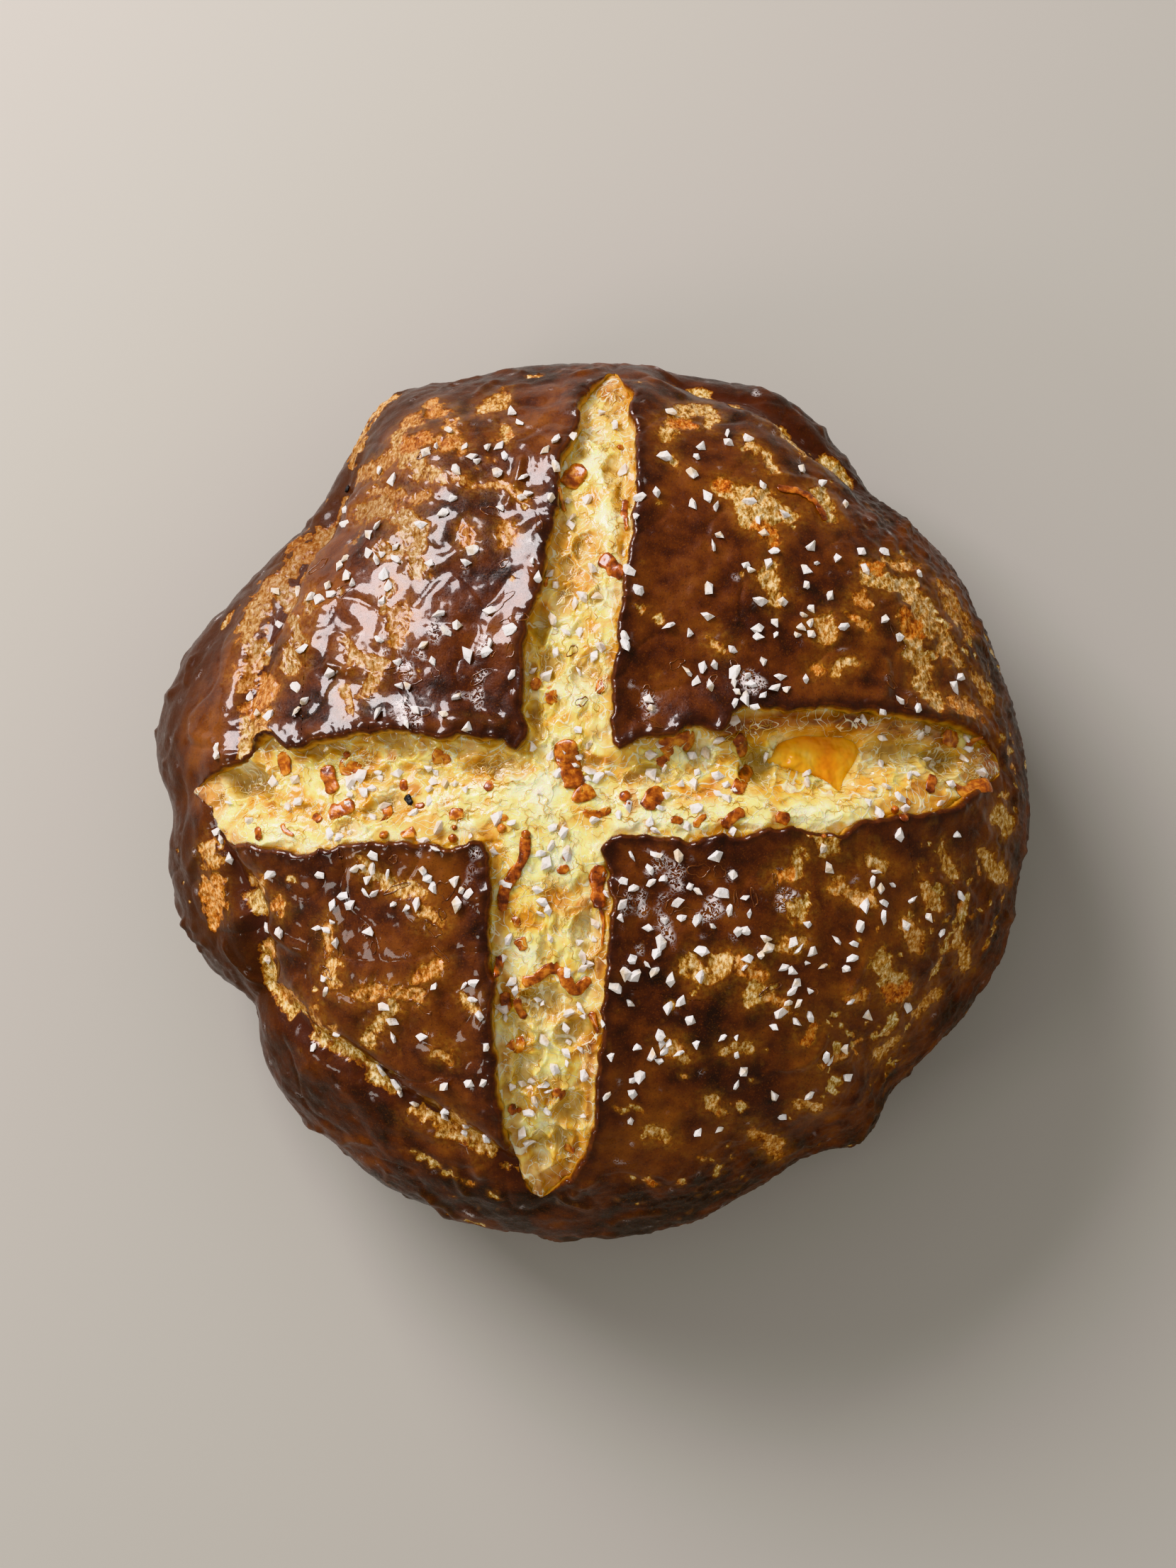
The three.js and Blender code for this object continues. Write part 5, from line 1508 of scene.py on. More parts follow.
# %% Gluten strands
def gluten():
    material, tree, place = new_material("gluten_strands")
    shade = ramp_of(
        tree, texture(tree, place, 4, 2), [(0.38, "#C89440"), (0.52, "#EBCB80"), (0.66, "#FBEBB8")]
    )
    surface_of(
        tree, {"Base Color": shade}, Roughness=0.35, IOR=1.42, Subsurface_Weight=0.2,
        Subsurface_Radius=(1.0, 0.7, 0.3), Subsurface_Scale=0.5 * MM, Coat_Weight=0.5,
        Coat_Roughness=0.1,
    )
    return material


STRAND_COUNT = 1000
STRAND_POINTS = 12
STRAND_TRIES = 40000  # places thrown over the loaf, of which the first in the cut are kept
STRAND_SPAN = (-100, 102)
STRAND_LENGTH = (3.0, 11.0)
STRAND_LIFT = (0.05, 0.4)
STRAND_RISE = 0.9  # the most that a strand leaves the crumb over a pit
STRAND_GIRTH = (0.05, 0.13)
STRAND_SIDES = 4
dice = np.random.default_rng(41)
tries = dice.uniform(*STRAND_SPAN, (STRAND_TRIES, 2))
starts = tries[lip_distance(tries[:, 0], tries[:, 1]) < -1.2][:STRAND_COUNT]
weights = arm_weights(starts[:, 0], starts[:, 1])
heading = np.where(weights[2] + weights[3] > 0.5, 0.0, math.pi / 2) + dice.normal(0, 0.55, len(starts))
length = dice.uniform(*STRAND_LENGTH, len(starts))
bend = dice.normal(0, 0.09, len(starts))
share = np.linspace(0, 1, STRAND_POINTS)
travelled = length[:, None] * share
turn = heading[:, None] + bend[:, None] * travelled + 0.9 * np.sin(2.2 * travelled + 9.0 * bend[:, None])
stride = (length / (STRAND_POINTS - 1))[:, None]
strand_x = starts[:, :1] + np.cumsum(np.cos(turn) * stride, axis=1)
strand_y = starts[:, 1:] + np.cumsum(np.sin(turn) * stride, axis=1)
surface, _ = on_crumb(strand_x.ravel(), strand_y.ravel())
surface = surface.reshape(len(starts), STRAND_POINTS, 3)
lift = dice.uniform(*STRAND_LIFT, len(starts))[:, None] * np.sin(math.pi * share)
bridged = surface[:, :, 2].copy()
for _ in range(3):
    bridged[:, 1:-1] = np.maximum(surface[:, 1:-1, 2], (bridged[:, :-2] + bridged[:, 2:]) / 2)
surface[:, :, 2] = np.minimum(bridged, surface[:, :, 2] + STRAND_RISE) + lift - 0.08
kept = (lip_distance(strand_x.ravel(), strand_y.ravel()).reshape(strand_x.shape) < -0.3).all(axis=1)
girth = dice.uniform(*STRAND_GIRTH, len(starts))[:, None] * (0.35 + 0.65 * np.sin(math.pi * share))
paths, girths = list(surface[kept]), list(girth[kept])
gluten_strands = strand_piece("gluten_strands", paths, girths, False, gluten(), STRAND_SIDES)

# %% [markdown]
# ## Cheddar
#
# Two kinds show. Gratings that stayed on top toasted to a red brown with a wet shine, and a pocket
# in the right arm melted to a smooth orange pool. Each grating is a strap swept along a few points
# of the surface: wide, thin, a little lumpy, and rounded off shortly at both ends. The smallest
# crumbs of cheddar are beads.

# %% Toasted shreds
SHREDS = [  # width, thickness, how brown it is toasted, then x and y of each point
    (4.0, 1.7, 0.5, -6.8, 7.6, -5.8, 2.4, -4.2, -3.8),
    (3.4, 1.2, 0.15, -4.4, -4.2, -2.6, -5.2, -0.6, -3.4),
    (1.9, 1.3, 0.75, -15.6, -14.6, -16, -19.4, -18.3, -23.4, -20.6, -27.2, -21.2, -32),
    (2.6, 1.7, 0.8, 2.2, -21.6, 0.9, -23.6, 1.0, -27.5, 1.5, -31.4),
    (0.8, 0.7, 0.6, 1.5, -31, 2.3, -35, 1.9, -40),
    (1.8, 1.1, 0.55, -16.6, -48.4, -13.4, -47.4, -10.8, -45.4, -8, -45),
    (1.9, 1.1, 0.5, -8, -45, -6.2, -48, -4.2, -50.2, -0.8, -47.4),
    (2.4, 1.1, 0.7, 37.2, 2.2, 34.6, -1.6, 32.6, -4.9),
    (2.2, 1.2, 0.6, 34.3, -8.8, 31.6, -10.4, 29.3, -12.6), (2.1, 1.1, 0.7, 41.5, -10, 44.9, -10.8),
    (3.0, 1.3, 0.6, 16, -4, 13.4, -6, 11.8, -8.6), (3.8, 0.9, 0.2, 15.6, 5.2, 19, 7, 23.4, 7.8),
    (2.0, 1.0, 0.6, 14.6, 2.2, 17.4, 4), (2.4, 1.2, 0.75, 33, 9, 34.6, 7, 35.4, 4.6),
    (3.0, 1.0, 0.15, -74.3, 6.4, -74, 3.4, -73.6, 0.6),
    (2.7, 1.4, 0.55, -63.6, 2.6, -62.6, -0.8, -61.2, -4.2),
    (2.6, 1.6, 0.45, -62.2, -8.6, -59.4, -8.4, -56, -6.6), (1.2, 1.0, 0.7, -66, -9.2, -63.6, -10.8),
    (1.6, 1.2, 0.6, -78.6, -11.4, -78.2, -14.6),
    (0.9, 0.8, 0.35, -73.3, -11, -71.6, -12.8, -69.6, -13.9), (1.0, 0.8, 0.9, -58.8, 5.8, -58.3, 4.2),
    (3.0, 0.8, 0.05, -60.4, 2.2, -58, 2, -55, 1.2),
    (1.6, 0.9, 0.55, -49, -7.4, -48.2, -9.4, -47.6, -11.4),
    (2.6, 0.9, 0.1, -37.8, 4.4, -35.6, 4, -33.4, 3.2), (2.2, 0.8, 0.15, -33.4, -9.4, -29.8, -10),
    (1.5, 0.9, 0.2, -44.6, -1.2, -44.3, -3.9), (1.0, 0.8, 0.6, -41.6, -7.7, -39.2, -7.5),
    (2.0, 0.8, 0.2, -44.4, -14.2, -40.8, -13.6), (3.6, 1.4, 0.25, -2.6, 75.4, -4.6, 73, -6.4, 69.6),
    (1.6, 0.9, 0.35, -8.2, 67, -7, 63), (2.9, 1.4, 0.7, 1.6, 51, 4, 48.8, 6.2, 45.4),
    (1.1, 0.8, 0.6, 7.6, 66, 7.2, 62, 7.8, 58), (1.6, 0.9, 0.6, -14.4, 19.4, -12.8, 22),
    (1.5, 0.8, 0.35, 1.8, 22, 1.4, 18), (2.0, 0.6, 0.0, -9.9, 20.4, -9.8, 15.8),
    (0.9, 0.7, 0.5, -11.6, 44, -10.6, 46.6),
    (1.5, 1.1, 0.75, 43.3, 69.2, 48, 68.6, 51.6, 66.6, 55.2, 61.6),
    (1.7, 1.1, 0.9, -21.6, -42, -22.4, -46.6), (2.0, 1.0, 0.45, -7.4, -21.4, -6.6, -23.4),
    (0.9, 0.7, 0.3, -6, -16.8, -6.6, -20.4), (1.3, 0.7, 0.25, -18.4, -33, -17.4, -35.6),
    (2.0, 0.7, 0.25, -17.4, -38, -16, -41), (1.9, 1.1, 0.7, -20.6, -50.4, -20.4, -55.4),
    (1.4, 0.9, 0.6, -17.8, -51.8, -17.4, -54.6, -16, -57), (1.3, 0.9, 0.5, -0.6, -55, 1, -60),
    (3.6, 0.8, 0.0, -19, -61.6, -16.6, -64.4), (2.5, 1.0, 0.5, -9.8, -74.4, -6.6, -74.6),
    (2.0, 1.2, 0.85, -19.6, -76.6, -18.6, -79), (2.6, 0.8, 0.1, -6.8, -88.6, -4.4, -87.6),
    (3.4, 1.2, 0.2, 86.4, -3, 89.8, -1.6, 94, -0.6), (3.0, 0.9, 0.1, 83.4, 10.8, 88.6, 10.4),
    (1.7, 0.9, 0.4, 90.6, 9.4, 92.4, 10.8), (1.9, 1.3, 0.85, 79.6, -3.6, 80, -1.4, 81.4, 0.8),
    (1.5, 0.8, 0.1, 73, -5.2, 74.2, -6.6), (1.2, 0.8, 0.4, 25.6, -9.8, 22.8, -12.6),
    (1.5, 0.8, 0.5, 20.4, -11.6, 17.6, -10.6), (1.3, 0.7, 0.25, 4, -8.6, 0.6, -9.8, -2.6, -9.4),
    (1.2, 0.6, 0.2, -23.6, -10, -19.6, -10.6), (1.6, 0.9, 0.25, -23.4, -1.4, -24.6, -4.4),
]
BEADS = [  # x, y, width, height, how brown
    (-21, -13, 2.2, 1.6, 0.6), (-15.5, -14.3, 2.2, 1.9, 0.65), (-32.3, -15.2, 2.2, 1.8, 0.6),
    (-32, -12.7, 1.3, 1.0, 0.6), (-48.1, -14.4, 2.2, 1.7, 0.6), (7.2, -5.6, 2.8, 1.9, 0.95),
    (7.8, -7.6, 1.6, 1.6, 0.95), (70.2, -8.2, 1.9, 2.0, 0.95), (70.8, -9.8, 2.6, 1.2, 0.9),
    (-17.8, -78.6, 1.4, 1.0, 0.8), (6.4, 80.4, 1.5, 1.0, 0.5), (52, -14.6, 1.2, 0.9, 0.6),
]
RING_SIDES = 12
RING_STEP = 0.45  # mm between the rings of a shred
SHRED_SPREAD = 1.35  # a melted shred is wider and thinner than it was grated
SHRED_SAG = 0.5
SHRED_SETTLING = 12  # rounds of smoothing with which it bridges the crumb's pits
SHRED_END = 0.25  # length of its rounded end, as a share of its width
SHRED_WOBBLE = 0.3
SHRED_LUMPS = 0.22  # mm


def ringed(rings, sides):
    """Faces of a closed shape of rings whose first and last meet in a point; those come last."""
    index = np.arange(rings * sides).reshape(rings, sides)
    after = np.roll(index, -1, axis=1)
    start = np.column_stack([index[0], after[0], np.full(sides, index.size)])
    finish = np.column_stack([after[-1], index[-1], np.full(sides, index.size + 1)])
    return np.vstack([grid_quads(index, True), start, finish])


def strap(points, width, thickness, seed, embed=0.05):
    """A closed strap on the loaf through points of the plan."""
    width, thickness = SHRED_SPREAD * width, SHRED_SAG * thickness
    length = np.linalg.norm(np.diff(np.array(points, float), axis=0), axis=1).sum()
    count = max(8, int(length / RING_STEP))
    middle = smooth_curve(points, count)
    surface, _ = top_surface(middle[:, 0], middle[:, 1])
    up = top_normal(middle[:, 0], middle[:, 1], 1.4)
    for _ in range(SHRED_SETTLING):
        surface[1:-1, 2] = (surface[:-2, 2] + 2 * surface[1:-1, 2] + surface[2:, 2]) / 4
        up[1:-1] = unit(up[:-2] + up[1:-1] + up[2:])
    ahead = unit(np.gradient(surface, axis=0))
    aside = unit(np.cross(up, ahead))
    up = np.cross(ahead, aside)
    share = np.linspace(0, 1, count)
    end = np.clip(np.minimum(share, 1 - share) * length / (SHRED_END * width), 0, 1)
    taper = np.sqrt(np.clip(1 - (1 - end) ** 2, 0.02, 1))
    wobble = 1 + SHRED_WOBBLE * noise(surface + seed, 2.6, 5)
    turn = np.linspace(0, 2 * math.pi, RING_SIDES, endpoint=False)
    c, s = np.cos(turn), np.sin(turn)
    out = (np.sign(c) * np.abs(c) ** 0.75)[None, :, None]
    rise = (np.sign(s) * np.abs(s) ** 0.8)[None, :, None]
    half = (0.5 * width * taper * wobble)[:, None, None]
    thick = (0.5 * thickness * (0.35 + 0.65 * taper))[:, None, None]
    spine = surface + up * thickness * (0.5 - embed)
    rings = spine[:, None] + aside[:, None] * half * out + up[:, None] * thick * rise
    skin = rings.reshape(-1, 3)
    outward = unit(skin - np.repeat(surface, RING_SIDES, axis=0))
    skin = skin + SHRED_LUMPS * outward * noise(skin, 1.3, 9)[:, None]
    return np.vstack([skin, spine[:1], spine[-1:]]), ringed(count, RING_SIDES)[:, ::-1]


BEAD_SIDES = 16
BEAD_RINGS = 9


def bead(x, y, width, tall, seed):
    """A closed round drop on the loaf."""
    middle = top_surface(x, y)[0][0]
    up = top_normal(np.array([x]), np.array([y]), 1.4)[0]
    aside = unit(np.cross(up, [0.3, 1.0, 0.1]))
    ahead = np.cross(up, aside)
    turn, tilt = np.meshgrid(
        np.linspace(0, 2 * math.pi, BEAD_SIDES, endpoint=False),
        np.linspace(0, math.pi, BEAD_RINGS + 2)[1:-1],
    )
    ball = np.stack([np.sin(tilt) * np.cos(turn), np.sin(tilt) * np.sin(turn), np.cos(tilt)], -1)
    ball = np.vstack([ball.reshape(-1, 3), [[0, 0, 1]], [[0, 0, -1]]])
    ball *= 1 + 0.16 * noise(ball * 1.3 + seed, 1.0, 3)[:, None]
    size = np.array([width / 2, width / 2, tall / 2])
    points = middle + up * tall * 0.22 + (ball * size) @ np.stack([aside, ahead, up])
    return points, ringed(BEAD_RINGS, BEAD_SIDES)


def joined(parts):
    """Several closed meshes as one, with a number for each part spread over its points."""
    points, faces, tags, start = [], [], [], 0
    for part_points, part_faces, tag in parts:
        points.append(part_points)
        faces.append(part_faces + start)
        tags.append(np.full(len(part_points), tag))
        start += len(part_points)
    return np.vstack(points), np.vstack(faces), np.concatenate(tags)


# %% [markdown]
# Toasted cheddar is a fatty glass: orange where it only melted, red brown where it toasted. It
# lets a little red light through and has a strong wet shine. The pool is the same cheese without
# the toasting, so it is a purer orange.


# %% Cheddar materials
def toasted_cheddar():
    material, tree, place = new_material("toasted_cheddar")
    mottle = texture(tree, place, 2.2, 4, 0.6)
    melted = ramp_of(tree, mottle, [(0.38, "#8E3C06"), (0.5, "#C06810"), (0.62, "#E6A23E")])
    browned = ramp_of(tree, mottle, [(0.38, "#421404"), (0.5, "#8A3308"), (0.62, "#C4641E")])
    body = cover(tree, "brown", melted, browned)
    surface_of(
        tree, {"Base Color": body, "Normal": bumps(tree, mottle, 0.35)}, Roughness=0.28, IOR=1.46,
        Subsurface_Weight=0.2, Subsurface_Radius=(1.0, 0.4, 0.08), Subsurface_Scale=1.0 * MM,
        Coat_Weight=0.8, Coat_Roughness=0.06,
    )
    return material


def molten_cheddar():
    material, tree, place = new_material("molten_cheddar")
    mottle = texture(tree, place, 7, 3, 0.5)
    ripple = texture(tree, place, 4, 2, 0.5)
    body = ramp_of(
        tree, mottle, [(0.36, "#F4940E"), (0.48, "#FFAA1C"), (0.6, "#FFBC34"), (0.72, "#FFD060")]
    )
    surface_of(
        tree, {"Base Color": body, "Normal": bumps(tree, ripple, 2.2)}, Roughness=0.2, IOR=1.46,
        Subsurface_Weight=0.3, Subsurface_Radius=(1.0, 0.45, 0.05), Subsurface_Scale=2.0 * MM,
        Coat_Weight=0.6, Coat_Roughness=0.05,
    )
    return material


toasted_material = toasted_cheddar()
molten_material = molten_cheddar()

parts = [(*strap(pairs(line), w, t, i), brown) for i, (w, t, brown, *line) in enumerate(SHREDS)]
parts += [(*bead(x, y, w, h, i), brown) for i, (x, y, w, h, brown) in enumerate(BEADS)]
points, faces, brown = joined(parts)
toasted_shreds = mesh_piece("toasted_cheddar", points, faces, [toasted_material], {"brown": brown})

# %% Molten pool
POOL_AROUND = 120
POOL_RINGS = 26
POOL_RIM_DEPTH = 8.8
POOL_RISE = 1.5
POOL_THICKNESS = 6.0
loop = smooth_curve(POOL_OUTLINE + POOL_OUTLINE[:1], POOL_AROUND + 1)[:-1]
middle = loop.mean(axis=0)
share = np.linspace(0, 1, POOL_RINGS)[1:, None, None]
plan = np.vstack([[middle], (middle + (loop - middle)[None] * share).reshape(-1, 2)])
rings = np.concatenate([[0.0], np.repeat(share.ravel(), POOL_AROUND)])
bearing, level = level_of(plan[:, 0], plan[:, 1])
spots = on_plan(plan[:, 0], plan[:, 1])
depth = POOL_RIM_DEPTH - POOL_RISE * np.sqrt(np.clip(1 - rings**3, 0, 1))
depth += uneven(spots, (0.5, 6.0, 401), (0.2, 3.0, 403))
surface = dome_point(bearing, level) - dome_normal(bearing, level) * depth[:, None]
index = 1 + np.arange((POOL_RINGS - 1) * POOL_AROUND).reshape(POOL_RINGS - 1, POOL_AROUND)
hub = np.column_stack([np.zeros(POOL_AROUND, int), index[0], np.roll(index[0], -1)])
faces = np.vstack([hub, grid_quads(index, True)])
pool_normals = np.vstack([point_normals(surface, faces), DOWN])
points, faces, shown = close_sheet(surface, faces, surface[0] - [0, 0, POOL_THICKNESS])
cheddar_pool = mesh_piece("cheddar_pool", points, faces, [molten_material], None, pool_normals, shown)

# %% [markdown]
# ## Dried glaze
#
# Before baking, the loaf was brushed. Where the wash ran round a salt grain or over a bubble, it
# dried to a thin raised line. Each line is a wobbly ring of glaze as brown as the skin. It hardly
# shows on its own, but its round side catches the window somewhere and draws a fine bright loop.


# %% Glaze threads
def dried_glaze():
    material, tree, place = new_material("dried_glaze")
    shade = ramp_of(tree, texture(tree, place, 3, 2), [(0.4, "#5A2A0C"), (0.6, "#7E4820")])
    finish = {"Roughness": 0.12, "IOR": 1.5, "Coat_Weight": 1.0, "Coat_Roughness": 0.03}
    surface_of(tree, {"Base Color": shade}, **finish)
    return material


LOOPS = [  # x, y, half length, half width, bearing
    (-19, 27.6, 1.6, 0.9, 70), (-26, 22, 2.4, 1.2, 30), (-45, 24, 2.6, 1.0, 10),
    (-42, 21.6, 2.4, 1.0, 0), (-36.4, 23, 1.2, 1.0, 0), (-29.7, 48.5, 1.0, 0.8, 0),
    (-20.9, 48.8, 1.0, 0.8, 0), (-22, 39, 3.4, 1.4, 35), (-18, 35, 2.6, 1.0, 10),
    (-5, 28.6, 1.4, 0.9, 60), (-2.8, 16.4, 1.6, 0.8, 40), (12.4, 18.6, 1.4, 1.1, 20),
    (13, 10.8, 2.6, 0.6, 160), (19, 25, 1.6, 1.0, 20), (26.9, 20.8, 1.6, 0.9, 60),
    (32.6, 24.2, 2.0, 0.8, 120), (35.4, 22.2, 1.8, 0.9, 140), (69, 22, 2.2, 0.8, 130),
    (73.6, 17, 2.0, 1.4, 20), (71.4, 33, 3.0, 0.7, 120), (17.2, -30.7, 1.4, 1.0, 80),
    (20.8, -32.2, 2.0, 1.4, 10), (23.9, -22.5, 2.4, 1.4, 20), (28.6, -22.8, 1.6, 1.2, 0),
    (41.3, -24.6, 1.9, 0.5, 95), (36.5, -28.6, 1.9, 0.6, 95), (32.4, -29, 1.6, 0.5, 95),
    (40, -49, 2.2, 0.7, 30), (50, -49.3, 0.9, 0.8, 0), (43, -28.4, 2.4, 0.8, 40),
    (-33.6, -26.8, 2.2, 1.6, 70), (-34.4, -32.4, 1.2, 0.7, 90), (-36.4, -35.6, 2.0, 1.2, 130),
    (-52.2, -36, 1.3, 0.8, 110), (-50.2, -39.6, 1.2, 0.7, 100), (-58.4, -40.6, 1.2, 0.6, 110),
    (-64, -37, 1.0, 0.8, 0), (-45.4, -19.6, 1.0, 0.8, 0), (-57.6, -18, 1.0, 0.6, 90),
    (-45, -26.2, 2.6, 0.7, 20), (-35, -41, 2.2, 0.6, 145), (-62, -45.2, 2.2, 0.5, 140),
    (-38.6, -53.4, 2.4, 0.5, 150), (-23.2, 28.2, 1.6, 0.9, 80), (6.5, -27, 1.8, 1.2, 60),
    (8.5, -30, 1.6, 1.0, 100), (-39.4, 13, 2.0, 0.9, 30), (-66, 52, 2.6, 0.9, 50),
    (-58, 44, 3.0, 0.8, 35), (-40, 78, 2.2, 0.8, 20), (-24, 62, 2.2, 1.0, 150),
    (-12.6, 58, 1.4, 0.8, 90),
]
LOOP_POINTS = 30
LOOP_GIRTH = 0.18  # mm
LOOP_LIFT = 0.03
LOOP_SIDES = 6
LOOP_WAVES = [(2, 0.22), (3, 0.16), (5, 0.1)]  # waves round the loop and their share of its size
around = np.linspace(0, 2 * math.pi, LOOP_POINTS, endpoint=False)
paths, girths = [], []
for i, (x, y, half_length, half_width, bearing) in enumerate(LOOPS):
    c, s = math.cos(math.radians(bearing)), math.sin(math.radians(bearing))
    waves = [rise * np.sin(n * around + turn * i) for turn, (n, rise) in enumerate(LOOP_WAVES, 1)]
    wobble = 1 + sum(waves)
    along = half_length * np.cos(around) * wobble
    across = half_width * np.sin(around) * wobble
    surface, _ = top_surface(x + along * c - across * s, y + along * s + across * c)
    paths.append(surface + [0, 0, LOOP_LIFT])
    girths.append(LOOP_GIRTH * (0.75 + 0.35 * np.sin(around * 2 + 5 * i)))
glaze_threads = strand_piece("glaze_threads", paths, girths, True, dried_glaze(), LOOP_SIDES)

# %% [markdown]
# ## Salt
#
# The salt is coarse pretzel salt: broken grains of two to three millimetres with flat sides, white
# and a little translucent. They fell in a loose scatter with a few handfuls that landed together.
# A node tree makes nine kinds of shard, each a small ball whose points noise has pushed about,
# wrapped in its convex hull. It then puts one on every point, turned and stretched by the point's
# own numbers. The sides stay flat, because that is what makes salt glint.


# %% Salt material
def coarse_salt():
    material, tree, place = new_material("coarse_salt")
    clump = texture(tree, place, 5, 2)
    facet = texture(tree, place, 0.8, 3, 0.6)
    body = ramp_of(tree, clump, [(0.34, "#DCCBB2"), (0.44, "#EEE9E4"), (0.7, "#FAF9FA")])
    surface_of(
        tree, {"Base Color": body, "Normal": bumps(tree, facet, 0.25)}, Roughness=0.4, IOR=1.54,
        Subsurface_Weight=0.35, Subsurface_Radius=(1.0, 0.95, 0.9), Subsurface_Scale=0.8 * MM,
    )
    return material


# %% Salt grains as a node tree
SHARD_KINDS = 9
SHARD_RADIUS = 0.6
SHARD_SHIFT = 3.7  # between the kinds, along the noise's fourth axis
UNEVENNESS = 1.6


def salt_tree(material):
    tree, start, end = new_geometry_tree("salt_grains", ["Unevenness"])
    kinds = add(tree, "GeometryNodeGeometryToInstance")
    for kind in reversed(range(SHARD_KINDS)):
        ball = add(tree, "GeometryNodeMeshIcoSphere", Radius=SHARD_RADIUS, Subdivisions=1)
        place = {"W": SHARD_SHIFT * kind, "Scale": 1.9, "Detail": 0.0}
        chips = add(tree, "ShaderNodeTexNoise", noise_dimensions="4D", **place)
        centred = add(tree, "ShaderNodeVectorMath", {0: chips.outputs["Color"]}, operation="SUBTRACT")
        centred.inputs[1].default_value = (0.5, 0.5, 0.5)
        pushing = {0: centred.outputs[0], "Scale": start.outputs["Unevenness"]}
        push = add(tree, "ShaderNodeVectorMath", pushing, operation="SCALE").outputs[0]
        uneven = add(tree, "GeometryNodeSetPosition", {"Geometry": ball.outputs[0], "Offset": push})
        shard = add(tree, "GeometryNodeConvexHull", {"Geometry": uneven.outputs[0]})
        tree.links.new(shard.outputs[0], kinds.inputs[0])
    placing = {
        "Points": start.outputs["Geometry"],
        "Instance": kinds.outputs[0],
        "Instance Index": named(tree, "INT", "kind"),
        "Rotation": named(tree, "FLOAT_VECTOR", "turn"),
        "Scale": named(tree, "FLOAT_VECTOR", "size"),
    }
    placed = add(tree, "GeometryNodeInstanceOnPoints", placing, Pick_Instance=True)
    real = add(tree, "GeometryNodeRealizeInstances", {"Geometry": placed.outputs[0]})
    done = add(tree, "GeometryNodeSetMaterial", {"Geometry": real.outputs[0]}, Material=material)
    tree.links.new(done.outputs[0], end.inputs[0])
    return tree


# %% Scatter the salt
HANDFULS = [  # x, y, spread, grains
    (-27, 76, 6, 9), (-48, 52, 5, 8), (-57, 48, 5, 7), (-8, 36, 5, 4), (-3, 26, 6, 6), (35, 19, 6, 12),
    (24, 24, 5, 6), (40, 31, 5, 6), (49, 46, 6, 5), (-55.5, -2.6, 3.2, 12), (-38, -3, 5, 5),
    (-60, -14, 3, 4), (-0.6, -0.6, 2.6, 7), (-6, 6, 4, 6), (16, -0.8, 8, 14), (30, -2, 4, 7),
    (65, -4.6, 2.6, 9), (72, 2, 7, 6), (94, 4, 4, 4), (-50, -22, 5, 7), (-38, -24, 4, 5),
    (-60, -28, 6, 5), (-62, -36, 5, 4), (-9, -15.5, 2.4, 5), (-12, -31, 4, 7), (-3, -44, 3.5, 8),
    (-18, -48, 3, 3), (-4.4, -57, 3.5, 8), (-6, -66, 3.6, 10), (-15.8, -74.5, 3, 11),
    (-11, -77, 2.4, 4), (20, -25, 8, 8), (30, -32, 6, 5), (38, -43, 5, 8), (48, -42, 4, 7),
    (57, -40, 4, 6), (66, -26, 6, 7), (12, -42, 5, 5), (20, -52, 6, 8), (15, -64, 5, 10),
    (30, -63, 6, 6), (45, -52, 6, 6), (10, -72, 5, 4), (4, -30, 4, 4), (-30, -30, 5, 4),
]
SCATTERED = 360
SCATTER_REACH = 92.0
HANDFUL_TIGHTNESS = 0.55
GRAIN_LENGTH = (2.15, 0.3)  # mm, mean and spread
GRAIN_LIMITS = (1.4, 2.9)
GRAIN_WIDTH = (0.58, 0.86)  # share of the length
GRAIN_HEIGHT = (0.5, 0.75)
GRAIN_GAP = 0.42  # share of two grains' lengths that they keep apart
GRAIN_RAISE = (0.18, 0.34)  # share of the height that its middle stands above the surface
dice = np.random.default_rng(67)
spots = []
for x, y, spread, grains in HANDFULS:
    spots.append(dice.normal((x, y), spread * HANDFUL_TIGHTNESS, (grains, 2)))
away = SCATTER_REACH * np.sqrt(dice.uniform(0, 1, SCATTERED))
around = dice.uniform(0, 2 * math.pi, SCATTERED)
spots = np.vstack(spots + [np.stack([away * np.cos(around), away * np.sin(around)], -1)])
grain_length = np.clip(dice.normal(*GRAIN_LENGTH, len(spots)), *GRAIN_LIMITS)
taken = []
for i, spot in enumerate(spots):
    room = GRAIN_GAP * (grain_length[i] + grain_length[taken])
    if np.all(np.hypot(*(spot - spots[taken]).T) > room):
        taken.append(i)
spots, grain_length = spots[taken], grain_length[taken]
surface, _ = top_surface(spots[:, 0], spots[:, 1])
up = top_normal(spots[:, 0], spots[:, 1])
wide, high = dice.uniform(*GRAIN_WIDTH, len(spots)), dice.uniform(*GRAIN_HEIGHT, len(spots))
grain_size = grain_length[:, None] * np.stack([np.ones(len(spots)), wide, high], -1)
turns = []
for i in range(len(spots)):
    spin = mathutils.Matrix.Rotation(dice.uniform(0, 2 * math.pi), 3, "Z")
    tip_over = mathutils.Matrix.Rotation(dice.normal(0, 0.3), 3, "X")
    stand = mathutils.Vector(up[i]).to_track_quat("Z", "Y").to_matrix()
    turns.append(tuple((stand @ tip_over @ spin).to_euler()))
raised = grain_size[:, 2:] * dice.uniform(*GRAIN_RAISE, (len(spots), 1))
grain_mesh = bpy.data.meshes.new("salt")
grain_mesh.from_pydata(((surface + up * raised + PLAN_SHIFT) * MM).tolist(), [], [])
for label, values in (("turn", np.array(turns)), ("size", grain_size * MM)):
    layer = grain_mesh.attributes.new(label, "FLOAT_VECTOR", "POINT")
    layer.data.foreach_set("vector", values.ravel())
kinds = dice.integers(0, SHARD_KINDS, len(spots)).astype(np.int32)
grain_mesh.attributes.new("kind", "INT", "POINT").data.foreach_set("value", kinds)
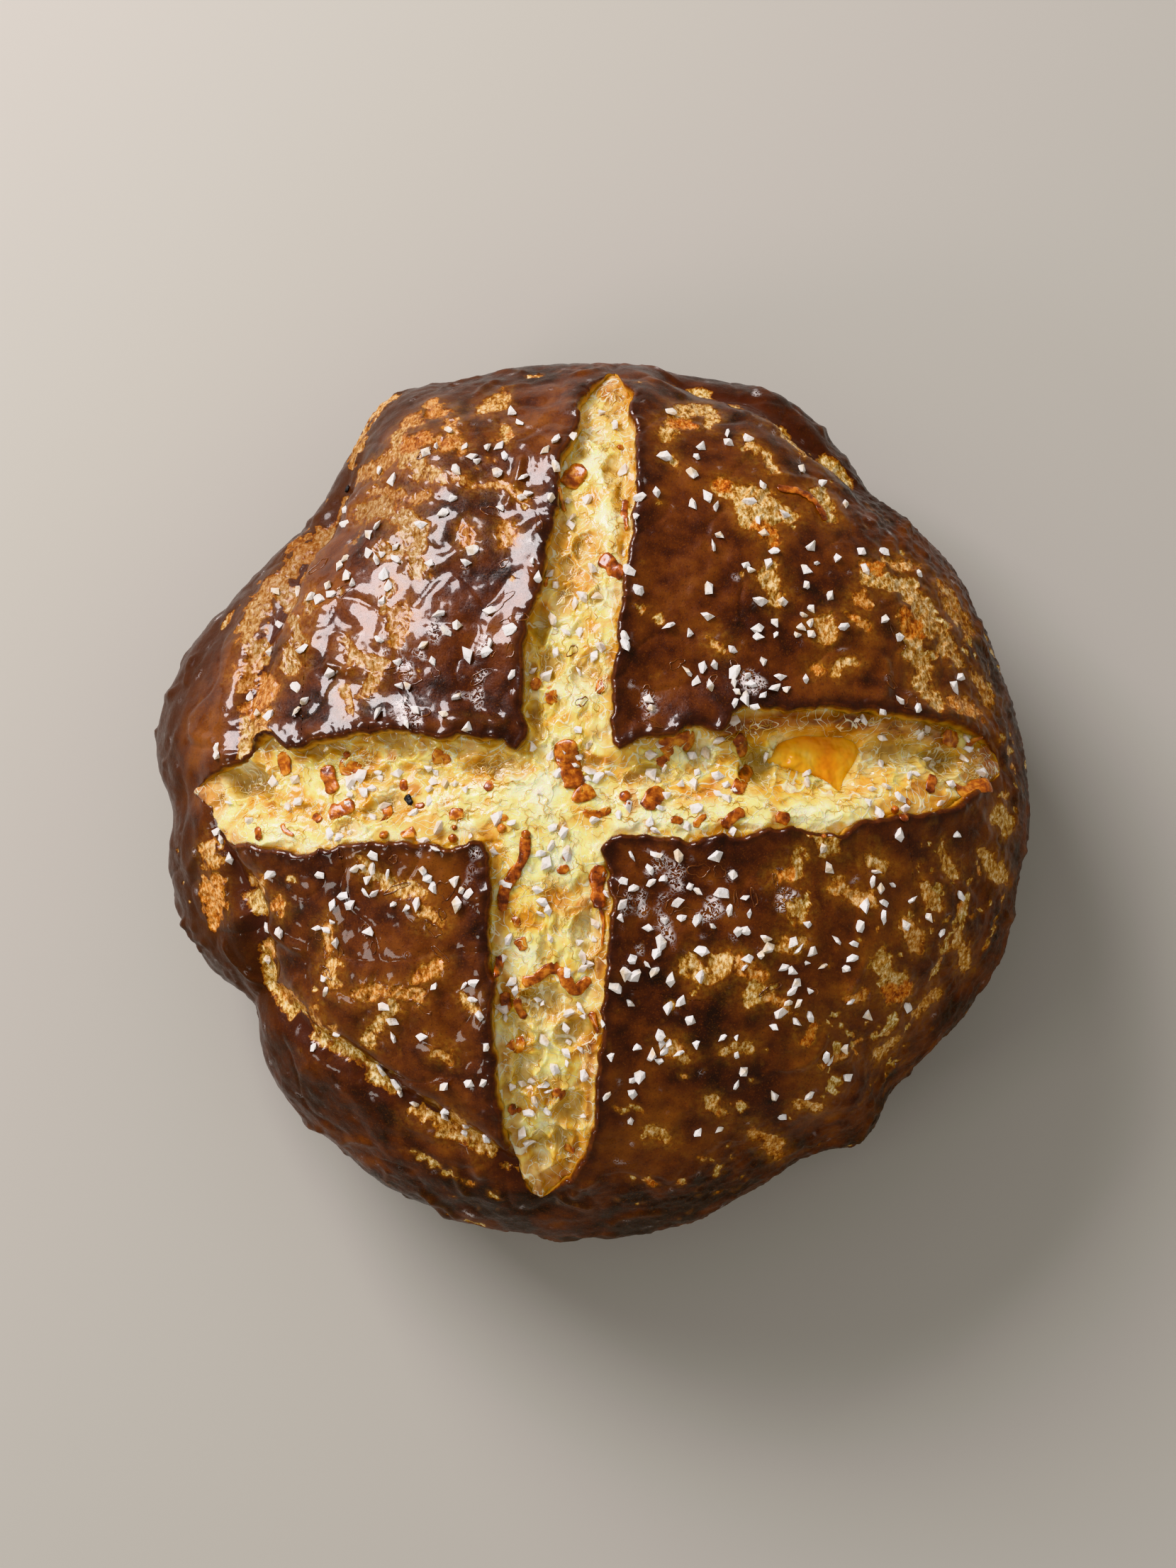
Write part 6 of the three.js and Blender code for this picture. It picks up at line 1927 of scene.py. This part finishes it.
salt = bpy.data.objects.new("salt", grain_mesh)
bpy.context.scene.collection.objects.link(salt)
bake_tree(salt, salt_tree(coarse_salt()), {"Unevenness": UNEVENNESS})
print(len(spots), "grains of salt")

# %% [markdown]
# ## Charred crumbs
#
# Two specks burnt black: one in the left arm, and one near the far left edge. They are small
# rough lumps of carbon, matt with a faint gloss.


# %% Char
def charred_crumb():
    material, tree, place = new_material("charred_crumb")
    fleck = texture(tree, place, 0.7, 3, 0.6)
    body = ramp_of(tree, fleck, [(0.4, "#08080B"), (0.65, "#1E1E24")])
    surface_of(tree, {"Base Color": body, "Normal": bumps(tree, fleck, 0.3)}, Roughness=0.38, IOR=1.5)
    return material


CHAR = [
    ([(-43.6, -5.0), (-42.8, -6.2), (-42.2, -7.4)], 1.3, 1.2),
    ([(-62.6, 75.8), (-62.2, 74.8)], 1.3, 1.1),
]
points, faces, _ = joined([(*strap(p, w, t, 50 + i, 0.1), 0) for i, (p, w, t) in enumerate(CHAR)])
char = mesh_piece("charred_crumbs", points, faces, [charred_crumb()])

# %% [markdown]
# ## Table
#
# The table is only a stage for the loaf: a wide pale sheet under the base.

# %% Table
TABLE_SIZE = 40.0
table_material, table_tree, _ = new_material("pale_table")
surface_of(table_tree, {}, Base_Color=colour("#B9B6AF"), Roughness=0.7)
table_mesh = bpy.data.meshes.new("table")
half = TABLE_SIZE / 2
corners = [(-half, -half, 0), (half, -half, 0), (half, half, 0), (-half, half, 0)]
table_mesh.from_pydata(corners, [], [(0, 1, 2, 3)])
table_mesh.materials.append(table_material)
table = bpy.data.objects.new("table", table_mesh)
bpy.context.scene.collection.objects.link(table)

# %% [markdown]
# ## Riding on the body
#
# Every piece rides on the loaf's one body, and the solid parts that the pieces stand for, the loaf
# and the cheddar pool, are hidden. The looks may not outgrow the solid loaf.

# %% Ride and replace
for piece in crust_pieces + [crumb, gluten_strands, toasted_shreds, glaze_threads, salt, char]:
    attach(piece, "root")
    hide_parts("loaf")
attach(cheddar_pool, "root")
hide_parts("cheese_pool")
